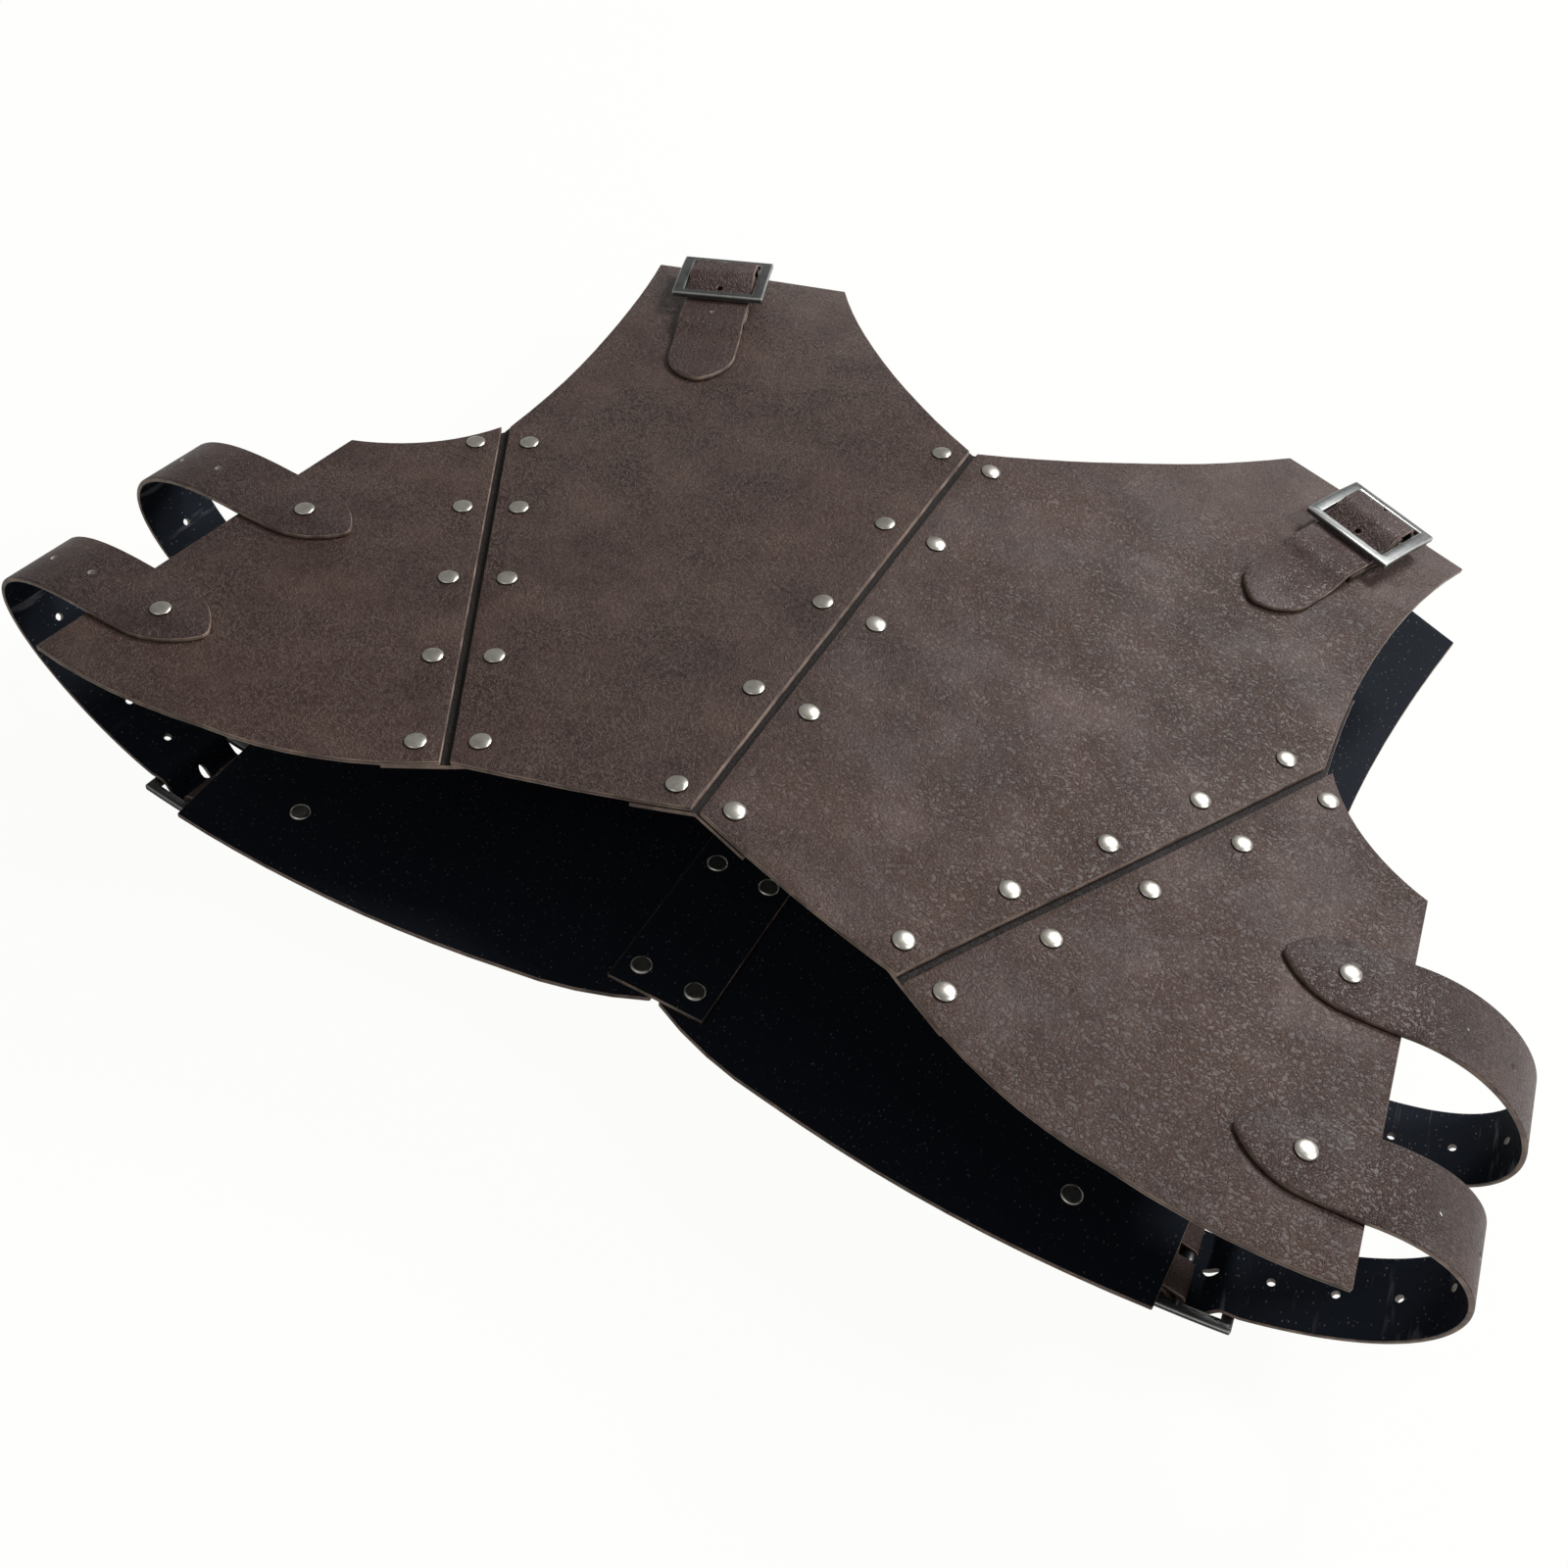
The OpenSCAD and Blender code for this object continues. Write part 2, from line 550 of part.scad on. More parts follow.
module at_places(list, z = 0) {
    for (p = list) translate([p[0], p[1], z]) children();
}

module sheet(profile, half_w) {
    rotate([90, 0, 90]) translate([0, 0, -half_w]) linear_extrude(2 * half_w) polygon(profile);
}

module chest_panel(side) {
    color(brown) side_of(side) difference() {
        place(CHEST) intersection() {
            translate([0, 0, -DEEP / 2]) linear_extrude(DEEP) polygon(chest_outline(seam_gap / 2));
            sheet(bent_sheet(panel_t, bend_y, bend_r, -DEEP, shoulder_in[1] + PAST, 1), 2 * DEEP);
        }
        place(CHEST) at_places(right_of(centre_places)) shank_hole(panel_t);
        place(CHEST * seam_plan()) at_places(left_of(side_places)) shank_hole(panel_t);
        place(shoulder_seat) shank_hole(panel_t);
    }
}

module side_panel(side) {
    color(brown) side_of(side) difference() {
        place(SIDE) translate([0, 0, -panel_t]) linear_extrude(panel_t) polygon(side_outline(seam_gap / 2));
        place(SIDE) at_places(right_of(side_places)) shank_hole(panel_t);
        place(side_anchor(upper_out, upper_down)) shank_hole(panel_t);
        place(side_anchor(lower_out, lower_down)) shank_hole(panel_t);
    }
}

// Two flanges folded along a seam, below faces that lean by the angles a and b
module folded_strip(width, a, b, length, lift) {
    function low(z) = [0, z / cos((a + b) / 2)];
    function flange(w, x, z) = [x * cos(w) - z * sin(w), x * sin(w) + z * cos(w)];
    rotate([90, 0, 0]) translate([0, 0, -length])
        linear_extrude(2 * length)
            polygon([flange(-a, -width / 2, lift), low(lift), flange(b, width / 2, lift),
                     flange(b, width / 2, lift - strip_t), low(lift - strip_t),
                     flange(-a, -width / 2, lift - strip_t)]);
}

module centre_seam_strip() {
    color(edge_brown) difference() {
        intersection() {
            place(placed * tipped() * tr(0, 0, ridge_h))
                folded_strip(strip_w, -chest_tilt, -chest_tilt, DEEP, -panel_t);
            for (side = SIDES) side_of(side) place(CHEST)
                translate([0, 0, -DEEP / 2]) linear_extrude(DEEP) polygon(chest_outline(-CROSS));
        }
        for (side = SIDES) side_of(side) place(CHEST)
            at_places(right_of(centre_places)) shank_hole(panel_t + strip_t);
    }
}

module seam_strip(side) {
    color(edge_brown) side_of(side) difference() {
        intersection() {
            place(CHEST * seam_plan()) folded_strip(strip_w, 0, side_lift, seam_len, -panel_t);
            union() {
                place(CHEST) translate([0, 0, -DEEP / 2]) linear_extrude(DEEP) polygon(chest_outline(-CROSS));
                place(SIDE) translate([0, 0, -DEEP / 2]) linear_extrude(DEEP) polygon(side_outline(-CROSS));
            }
        }
        place(CHEST * seam_plan()) at_places(left_of(side_places)) shank_hole(panel_t + strip_t);
        place(SIDE) at_places(right_of(side_places)) shank_hole(panel_t + strip_t);
    }
}

module centre_seam_rivets() {
    color(nickel) for (side = SIDES) side_of(side) place(CHEST)
        at_places(right_of(centre_places)) rivet(panel_t + strip_t);
}

module seam_rivets(side) {
    color(nickel) side_of(side) {
        place(CHEST * seam_plan()) at_places(left_of(side_places)) rivet(panel_t + strip_t);
        place(SIDE) at_places(right_of(side_places)) rivet(panel_t + strip_t);
    }
}

module back_panel(side) {
    color(brown) side_of(side) difference() {
        place(BACK) intersection() {
            translate([0, 0, -DEEP / 2]) linear_extrude(DEEP) polygon(back_outline(seam_gap / 2));
            sheet(bent_sheet(panel_t, back_neck_y, back_bend_r, -DEEP, back_in[1] + PAST, -1), 2 * DEEP);
        }
        place(BACK) at_places(right_of(spine_places), panel_t) shank_hole(panel_t);
        for (b = side_buckles) place(b) translate([side_chape_rivet, 0, -bar_lift]) shank_hole(panel_t);
        place(nape_anchor) shank_hole(panel_t);
    }
}

module spine_strip() {
    color(edge_brown) difference() {
        intersection() {
            place(placed * tipped() * tr(0, 0, back_z))
                folded_strip(spine_w, -back_roll, -back_roll, DEEP, panel_t + strip_t);
            for (side = SIDES) side_of(side) place(BACK)
                translate([0, 0, -DEEP / 2]) linear_extrude(DEEP) polygon(back_outline(-CROSS));
            place(BACK) translate([-DEEP, -back_waist_y, -DEEP / 2]) cube([2 * DEEP, 2 * DEEP, DEEP]);
        }
        for (side = SIDES) side_of(side) place(BACK)
            at_places(right_of(spine_places), panel_t + strip_t) shank_hole(panel_t + strip_t);
    }
}

// The spine rivets have their domes on the outer side, which faces down here
module spine_rivets() {
    color(nickel) for (side = SIDES) side_of(side) place(BACK)
        at_places(right_of(spine_places)) rotate([180, 0, 0]) rivet(panel_t + strip_t);
}

side_anchors = [side_anchor(upper_out, upper_down), side_anchor(lower_out, lower_down)];
side_buckles = [side_buckle(side_anchors[0], 0), side_buckle(side_anchors[1], lower_drift)];

// Angle at which a shoulder loop comes up to its buckle
NAPE_TURN = 28;
// The prong goes through the strap this far from the bar, and the holes are spaced from there
slot_x = ramp_end - ramp_w * 2 / 3;
function side_stations(k, i) =
    let (m = side_anchors[k], b = side_buckles[k])
    concat(strap_start(m, strap_w),
           strap_loop(m, b, strap_w, loop_front[i], front_turn[i], loop_back[i], back_turn[i]),
           strap_threaded(b, strap_w), side_end(b));
shoulder_stations =
    concat(strap_start(nape_anchor, shoulder_strap_w),
           strap_loop(nape_anchor, shoulder_frame, shoulder_strap_w, nape_back, 0, nape_front, NAPE_TURN),
           strap_threaded(shoulder_frame, shoulder_strap_w), shoulder_end(shoulder_frame));

module strap(stations, anchor, buckle) {
    d = lengths(stations);
    slot_at = d[FIRST_RAMP] + norm(stations[FIRST_RAMP][0] - at(buckle, [-slot_x, 0, threaded_z(-slot_x)]));
    color(brown) difference() {
        rings([for (i = [0:len(stations) - 1]) corners(stations, i)]);
        place(anchor) translate([0, 0, strap_t]) shank_hole(strap_t);
        for (k = [-holes_before:holes_after])
            let (l = slot_at + k * hole_pitch)
            if (k != 0 && l < d[len(d) - 1] - hole_margin && l > rivet_in + edge_run + hole_margin)
                place(place_at(stations, d, l))
                    cylinder(r = hole_r, h = 2 * strap_t, center = true, $fn = ROUND);
        place(place_at(stations, d, slot_at)) prong_slot();
    }
}

// Slot along the strap, long enough for the prong to pass where the strap climbs
module prong_slot() {
    for (s = [-1, 1]) translate([0, s * SLOT_RUN, 0])
        cylinder(r = hole_r, h = 3 * strap_t, center = true, $fn = ROUND);
    cube([2 * hole_r, 2 * SLOT_RUN, 3 * strap_t], center = true);
}

module side_strap(side, k) {
    i = (side == "left" ? 2 : 0) + k;
    side_of(side) strap(side_stations(k, i), side_anchors[k], side_buckles[k]);
}

module shoulder_strap(side) {
    side_of(side) strap(shoulder_stations, nape_anchor, shoulder_frame);
}

// The back is bent at the nape, so that a rivet's flat head there bears on its rim only
nape_play = 0.03;
nape_ease = cap_r * cap_r / (2 * back_bend_r) + nape_play;
module strap_rivets() {
    color(nickel) for (side = SIDES) side_of(side) {
        for (m = side_anchors) place(m) translate([0, 0, strap_t]) rivet(strap_t + panel_t);
        place(nape_anchor) translate([0, 0, strap_t]) rivet(strap_t + panel_t + nape_ease);
    }
}

// Thin leather folded round the buckle's bar, its two layers riveted to the panel.
// It runs from the round fold to where it lies flat, and the prong's loop has a slot in the fold.
FLAT_X = 13;
FOLD_STEPS = 16;
module chape(side, buckle, width, length, rivet_x) {
    chape_w = chape_of(width);
    low = -bar_lift;
    top = low + 2 * chape_t;
    r = fold_out_r;
    within = fold_r - AIR;
    slot_w = prong_w + 2 * slot_play;
    slot_l = r + prong_neck - PAST;
    function touch(p, s) = atan2(p[1], p[0]) + s * acos(r / norm(p));
    w_low = touch([FLAT_X, low], -1);
    w_top = touch([FLAT_X, top], 1);
    color(edge_brown) side_of(side) place(buckle) difference() {
        rotate([90, 0, 0]) translate([0, 0, -chape_w / 2]) linear_extrude(chape_w)
            polygon(concat([[length, top], [FLAT_X, top]],
                [for (i = [0:FOLD_STEPS]) let (w = mix(w_top, w_low + 360, i / FOLD_STEPS))
                    r * [cos(w), sin(w)]],
                [[FLAT_X, low], [length, low]]));
        rotate([90, 0, 0]) cylinder(r = fold_r, h = chape_w + PAST, center = true, $fn = ROUND);
        rotate([90, 0, 0]) translate([0, 0, -chape_w / 2 - PAST]) linear_extrude(chape_w + 2 * PAST)
            polygon([within * [cos(w_low), sin(w_low)], [FLAT_X - chape_t, low + chape_t],
                     within * [cos(w_top), sin(w_top)]]);
        translate([-r - PAST, -slot_w / 2, -r - PAST]) cube([slot_l + PAST, slot_w, 2 * (r + PAST)]);
        translate([rivet_x, 0, top]) shank_hole(2 * chape_t);
    }
}

module side_chape_of(side, k) {
    chape(side, side_buckles[k], strap_w, side_chape, side_chape_rivet);
}

module shoulder_chape_of(side) {
    chape(side, shoulder_frame, shoulder_strap_w, shoulder_chape, shoulder_chape_rivet);
}

module chape_rivets() {
    color(nickel) for (side = SIDES) side_of(side) {
        for (b = side_buckles) place(b) translate([side_chape_rivet, 0, -bar_lift + 2 * chape_t])
            rivet(2 * chape_t + panel_t, disc_h);
        place(shoulder_seat) translate([0, 0, 2 * chape_t + AIR])
            rivet(2 * chape_t + panel_t + 2 * AIR, disc_h);
    }
}

// Rectangular frame with bevelled edges and a round bar across its middle
module buckle(side, m, width) {
    in_l = frame_l - 2 * bar_w;
    window_w = window_of(width);
    color(pewter) side_of(side) place(m) {
        difference() {
            translate([-frame_l / 2, -frame_w / 2, -frame_t / 2]) cube([frame_l, frame_w, frame_t]);
            translate([-in_l / 2, -window_w / 2, -frame_t]) cube([in_l, window_w, 2 * frame_t]);
            bevelled(frame_l / 2, frame_w / 2);
            bevelled(-in_l / 2, -window_w / 2);
        }
        rotate([90, 0, 0]) cylinder(r = bar_r, h = window_w + side_w, center = true, $fn = ROUND);
    }
}

// Corners taken off along the four sides of a rectangle, on the outer face
module bevelled(x, y) {
    side = bevel * sqrt(2);
    for (s = [-1, 1]) {
        translate([s * x, 0, frame_t / 2]) rotate([0, 45, 0])
            cube([side, 2 * abs(y) + (x > 0 ? 2 * PAST : 0), side], center = true);
        translate([0, s * y, frame_t / 2]) rotate([45, 0, 0])
            cube([2 * abs(x) + (x > 0 ? 2 * PAST : 0), side, side], center = true);
    }
}

// Flat tongue looped round the bar, its point resting on the outer end bar
module prong(side, m) {
    low = frame_t / 2 + prong_lift;
    reach = frame_l / 2 + prong_past;
    point = -reach + tip_w / 2;
    neck = -prong_neck;
    color(pewter) side_of(side) place(m) difference() {
        union() {
            rotate([90, 0, 0])
                cylinder(r = bar_r + loop_gap + prong_t, h = prong_w, center = true, $fn = ROUND);
            translate([0, 0, low]) linear_extrude(prong_t)
                polygon([[0, -prong_w / 2], [neck, -prong_w / 2], [neck - prong_ease, -tip_w / 2],
                         [point, -tip_w / 2], [point, tip_w / 2],
                         [neck - prong_ease, tip_w / 2], [neck, prong_w / 2], [0, prong_w / 2]]);
            translate([point, 0, low]) cylinder(r = tip_w / 2, h = prong_t, $fn = ROUND);
        }
        rotate([90, 0, 0]) cylinder(r = bar_r + loop_gap, h = prong_w + PAST, center = true, $fn = ROUND);
    }
}

chest_panel("right");  // right_chest_panel
chest_panel("left");  // left_chest_panel
side_panel("right");  // right_side_panel
side_panel("left");  // left_side_panel
centre_seam_strip();
seam_strip("right");  // right_seam_strip
seam_strip("left");  // left_seam_strip
centre_seam_rivets();
seam_rivets("right");  // right_seam_rivets
seam_rivets("left");  // left_seam_rivets
back_panel("right");  // right_back_panel
back_panel("left");  // left_back_panel
spine_strip();
spine_rivets();
side_strap("right", 0);  // right_upper_strap
side_strap("right", 1);  // right_lower_strap
side_strap("left", 0);  // left_upper_strap
side_strap("left", 1);  // left_lower_strap
shoulder_strap("right");  // right_shoulder_strap
shoulder_strap("left");  // left_shoulder_strap
strap_rivets();
side_chape_of("right", 0);  // right_upper_chape
side_chape_of("right", 1);  // right_lower_chape
side_chape_of("left", 0);  // left_upper_chape
side_chape_of("left", 1);  // left_lower_chape
shoulder_chape_of("right");  // right_shoulder_chape
shoulder_chape_of("left");  // left_shoulder_chape
chape_rivets();
buckle("right", side_buckles[0], strap_w);  // right_upper_buckle
buckle("right", side_buckles[1], strap_w);  // right_lower_buckle
buckle("left", side_buckles[0], strap_w);  // left_upper_buckle
buckle("left", side_buckles[1], strap_w);  // left_lower_buckle
buckle("right", shoulder_frame, shoulder_strap_w);  // right_shoulder_buckle
buckle("left", shoulder_frame, shoulder_strap_w);  // left_shoulder_buckle
prong("right", side_buckles[0]);  // right_upper_prong
prong("right", side_buckles[1]);  // right_lower_prong
prong("left", side_buckles[0]);  // left_upper_prong
prong("left", side_buckles[1]);  // left_lower_prong
prong("right", shoulder_frame);  // right_shoulder_prong
prong("left", shoulder_frame);  // left_shoulder_prong
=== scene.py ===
"""Chest armour of riveted leather panels, lying on its back with its straps buckled."""

import math

import bmesh
import bpy
from mathutils import Matrix, Vector, noise


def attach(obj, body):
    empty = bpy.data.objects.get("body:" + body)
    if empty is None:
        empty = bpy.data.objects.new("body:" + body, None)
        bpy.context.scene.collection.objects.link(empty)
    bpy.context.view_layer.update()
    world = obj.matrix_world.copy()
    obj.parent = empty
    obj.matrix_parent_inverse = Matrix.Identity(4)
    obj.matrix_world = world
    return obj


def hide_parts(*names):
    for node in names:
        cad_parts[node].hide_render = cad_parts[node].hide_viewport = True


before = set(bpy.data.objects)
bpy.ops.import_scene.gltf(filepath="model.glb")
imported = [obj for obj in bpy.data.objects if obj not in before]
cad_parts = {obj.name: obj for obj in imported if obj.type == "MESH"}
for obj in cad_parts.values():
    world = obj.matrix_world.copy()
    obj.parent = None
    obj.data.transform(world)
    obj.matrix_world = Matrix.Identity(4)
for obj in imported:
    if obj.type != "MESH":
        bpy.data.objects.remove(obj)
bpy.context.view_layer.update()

MM = 0.001
SIDES = ("right", "left")

# Leather and hardware, in millimetres
PANEL_T = 2.4
STRIP_T = 2.0
STRAP_T = 2.4
CHAPE_T = 1.6
CAP_R = 4.5
CAP_H = 1.7
DISC_H = 0.8
# Width and height of the dark band of painted contact shade round the foot of each rivet cap
RIM_SHADE_W, RIM_SHADE_H = 0.2, 0.6
SHANK_R = 1.6
AIR = 0.15

# How the armour lies: the tip of the whole, the front's ridge, the folds at the seams
MID_Y = 50.986
TIP_Y = -36.42
LAY_PITCH = 4.3
RIDGE_H = 116
CHEST_TILT = 6.5
SIDE_LIFT = 3.2
SEAM_TOP = (204.6, 49)
SEAM_LEAN = 27.9
BACK_ROLL = 0.65
BACK_Z = 17.65
BEND_Y = 130
BEND_R = 600
BACK_NECK_Y = 126

# Rows of rivets: distance across, rivets in a row, first one, spacing
ROW_GAP = 25
ROW_COUNT = 5
CENTRE_FIRST, CENTRE_PITCH = 123, 61.5
SIDE_FIRST, SIDE_PITCH = -13.9, 51
SPINE_FIRST, SPINE_PITCH = 114, 64

# Straps: widths, the ends, the run on the panel, the holes
STRAP_W = 36
SHOULDER_STRAP_W = 33
POINT_L = 30
POINT_R = 5
BLUNT = 1.4
ROUND_L = 21.6
RIVET_IN = 25.5
EDGE_RUN = 24
STRAP_RISE = 5.6
HOLE_R = 1.7
HOLE_PITCH = 23.8
HOLE_MARGIN = 12
HOLES_BEFORE = 9
HOLES_AFTER = 2
BORE_HALF, BORE_REACH = 2.2, 5
FOLD_R = 30
SIDE_TAIL = 82
SHOULDER_TAIL = 91
ANCHORS = {"upper": (80.5, 74.4), "lower": (126.1, 146.4)}
DRIFT = {"upper": 0, "lower": 0.4}
# Each loop's fullness and turn in degrees at its front, then at its back
LOOPS = {
    ("right", "upper"): (59, 5.5, 117.5, -1), ("right", "lower"): (58.5, 7.3, 92.8, 14.6),
    ("left", "upper"): (111, 4, 75.5, 8), ("left", "lower"): (106, 3.5, 59.5, 14.7),
}
NAPE_LOOP = (24, 0, 28, 28)

# Buckles: frame, bar, prong, and how the strap is threaded
FRAME_L = 44
FRAME_T = 3
FRAME_W = 46.8
BAR_W = 4.4
BAR_R = 1.6
SIDE_PLAY = 1
PRONG_W = 4
PRONG_T = 1.4
TIP_W = 2.6
SIDE_BAR_X = 229.5
SHOULDER_LEAN = 20
SHOULDER_CHAPE = 36
LEAVE_PAST, LAND_PAST, LANDING_PULL = 2, 18, 8
SIDE_CHAPE_RIVET = 49
SHOULDER_CHAPE_RIVET = 29
CREST_Z = 4.95
UNDER_Z = -3.5
BAR_LIFT = 8.9
RAMP_END = FRAME_L / 2 - BAR_W - 0.6
RAMP_W = 8.5
CREST_HALF = 2
THREAD_IN = FRAME_L / 2 + 1
SLOT_X = RAMP_END - RAMP_W * 2 / 3
SLOT_RUN = 2.8
FRAME_ARCH = 0.8
PRONG_PLAY = 0.06
PRONG_LIFT = 0.3
PRONG_PAST = 1.5
PRONG_TURN = 322
TOUCH = 0.01

# How finely lines and round shapes are divided
LOOP_STEPS, THREAD_STEPS, TAIL_STEPS = 70, 46, 12
CHAPE_STEPS, LANDING_STEPS = 6, 8
FOLD_SPAN = 3
FRAME_STEPS = 12
PRONG_STEPS = 26
RIVET_VERTICES = 36
BAR_VERTICES = 32
PUNCH_VERTICES = 20

# Widths of rounded edges. A face counts as flat, not as edge, where its normal's part square to
# the hide is over FLAT.
PANEL_ROUND = 0.4
STRAP_ROUND = 0.85
FRAME_ROUND = 0.7
THIN_ROUND = 0.3
FLAT = 0.8


def move(x, y, z=0.0):
    """A shift in millimetres"""
    return Matrix.Translation((x * MM, y * MM, z * MM))


def turn(axis, degrees):
    return Matrix.Rotation(math.radians(degrees), 4, axis)


def point(m, x, y=0.0, z=0.0):
    """A point of a frame, given in millimetres"""
    return m @ Vector((x * MM, y * MM, z * MM))


def across(m):
    return m.col[1].to_3d().normalized()


def mirrored(m):
    """The same frame on the other side, still right-handed, for shapes alike on both sides of Y"""
    return Matrix.Diagonal((-1, 1, 1, 1)) @ m @ Matrix.Diagonal((1, -1, 1, 1))


def on_side(side, m):
    return m if side == "right" else mirrored(m)


def on_sheet(x, y, line, radius, curl):
    """Frame on a sheet that bends past a line: curl 1 bends it down, -1 up"""
    w = math.asin((y - line) / radius) if y > line else 0.0
    return move(x, y, curl * radius * (math.cos(w) - 1)) @ turn("X", -curl * math.degrees(w))


LIE = move(0, TIP_Y - MID_Y) @ turn("X", -LAY_PITCH) @ move(0, -TIP_Y)
CHEST = LIE @ move(0, 0, RIDGE_H) @ turn("Y", CHEST_TILT)
SEAM = move(*SEAM_TOP) @ turn("Z", -SEAM_LEAN)
SIDE = CHEST @ SEAM @ turn("Y", -SIDE_LIFT)
BACK = LIE @ move(0, 0, BACK_Z) @ turn("Y", BACK_ROLL)


def side_anchor(k):
    """Frame at the rivet of a side strap, +X the way the strap leaves"""
    out, down = ANCHORS[k]
    return SIDE @ move(out, -down) @ turn("Z", SEAM_LEAN + STRAP_RISE)


def side_buckle(k):
    """Frame on the buckle's bar, +X the way the free end goes, +Z out of the leather"""
    p = LIE.inverted() @ side_anchor(k).translation / MM
    y = p[1] - (p[0] - SIDE_BAR_X) * math.tan(math.radians(STRAP_RISE)) - DRIFT[k]
    return BACK @ move(SIDE_BAR_X, y) @ turn("X", 180) @ turn("Z", 180 - STRAP_RISE) @ move(0, 0, BAR_LIFT)


def heading(degrees):
    return Vector((math.cos(math.radians(degrees)), math.sin(math.radians(degrees))))


# The front shoulder edge: its inner corner and its way, and where the bar lies along it and below it
SHOULDER_IN = Vector((127.8, 257))
SHOULDER_SLOPE = 16
SHOULDER_DIR = heading(-SHOULDER_SLOPE)
BAR_ALONG, BAR_BELOW = 59.3, 32.5
SHOULDER_BAR = SHOULDER_IN + BAR_ALONG * SHOULDER_DIR - BAR_BELOW * SHOULDER_DIR.orthogonal()
SHOULDER_WAY = heading(90 - SHOULDER_LEAN)


def chest_run(q):
    """Frame on the chest panel under the shoulder strap, at a distance from the bar"""
    p = SHOULDER_BAR - q * SHOULDER_WAY
    return CHEST @ on_sheet(p[0], p[1], BEND_Y, BEND_R, 1) @ turn("Z", -90 - SHOULDER_LEAN)


SHOULDER_FRAME = chest_run(SHOULDER_CHAPE_RIVET) @ move(-SHOULDER_CHAPE_RIVET, 0, BAR_LIFT + AIR)

# The rear shoulder edge: its outer corner and its slope, from which the strap's rear rivet is set in
BACK_OUT = Vector((235.3, 243.3))
BACK_SLOPE = 20.6
EDGE_SQUARE = heading(90 - BACK_SLOPE)
EDGE_REACH = (BACK_OUT - SHOULDER_BAR).dot(EDGE_SQUARE) / SHOULDER_WAY.dot(EDGE_SQUARE)
NAPE_RIVET = SHOULDER_BAR + (EDGE_REACH - EDGE_RUN) * SHOULDER_WAY
NAPE = (BACK @ on_sheet(NAPE_RIVET[0], NAPE_RIVET[1], BACK_NECK_Y, BEND_R, -1)
        @ turn("X", 180) @ turn("Z", -90 + SHOULDER_LEAN))

BUCKLE_FRAMES = {"upper": side_buckle("upper"), "lower": side_buckle("lower"), "shoulder": SHOULDER_FRAME}


# Colours and materials
def linear(hex_colour):
    """An sRGB hex colour as linear light"""
    parts = [int(hex_colour[i:i + 2], 16) / 255 for i in (1, 3, 5)]
    return [c / 12.92 if c <= 0.04045 else ((c + 0.055) / 1.055) ** 2.4 for c in parts] + [1.0]


def add(tree, kind, inputs=None, **settings):
    """Adds a node. An input is a value or another node's output."""
    made = tree.nodes.new(kind)
    for key, value in settings.items():
        setattr(made, key, value)
    for key, value in (inputs or {}).items():
        if isinstance(value, bpy.types.NodeSocket):
            tree.links.new(value, made.inputs[key])
        else:
            made.inputs[key].default_value = value
    return made


def new_material(name):
    made = bpy.data.materials.new(name)
    made.use_nodes = True
    made.node_tree.nodes.clear()
    return made


def finish_material(made, shader):
    add(made.node_tree, "ShaderNodeOutputMaterial", {"Surface": shader.outputs[0]})
    return made


def noise_of(t, where, scale, detail=3.0, roughness=0.55):
    return add(t, "ShaderNodeTexNoise", {"Vector": where, "Scale": scale, "Detail": detail,
                                         "Roughness": roughness}).outputs["Fac"]


def ramp(t, value, low, high, to_low=0.0, to_high=1.0):
    """Stretches the part of a value between two limits"""
    return add(t, "ShaderNodeMapRange", {"Value": value, "From Min": low, "From Max": high,
                                         "To Min": to_low, "To Max": to_high}).outputs[0]


def math_of(t, operation, a, b, c=0.0):
    return add(t, "ShaderNodeMath", {0: a, 1: b, 2: c}, operation=operation).outputs[0]


def blend(t, share, a, b):
    """Mixes two colours, each an sRGB hex colour or another mix"""
    a, b = [linear(c) if isinstance(c, str) else c for c in (a, b)]
    return add(t, "ShaderNodeMix", {0: share, 6: a, 7: b}, data_type="RGBA").outputs[2]


def ridges(t, where, scale, width, detail=2.0):
    """Short crooked ridges: 1 on the line where a noise passes its middle, 0 away from it"""
    off = math_of(t, "ABSOLUTE", math_of(t, "SUBTRACT", noise_of(t, where, scale, detail), 0.5), 0.0)
    return ramp(t, off, 0.0, width, 1.0, 0.0)


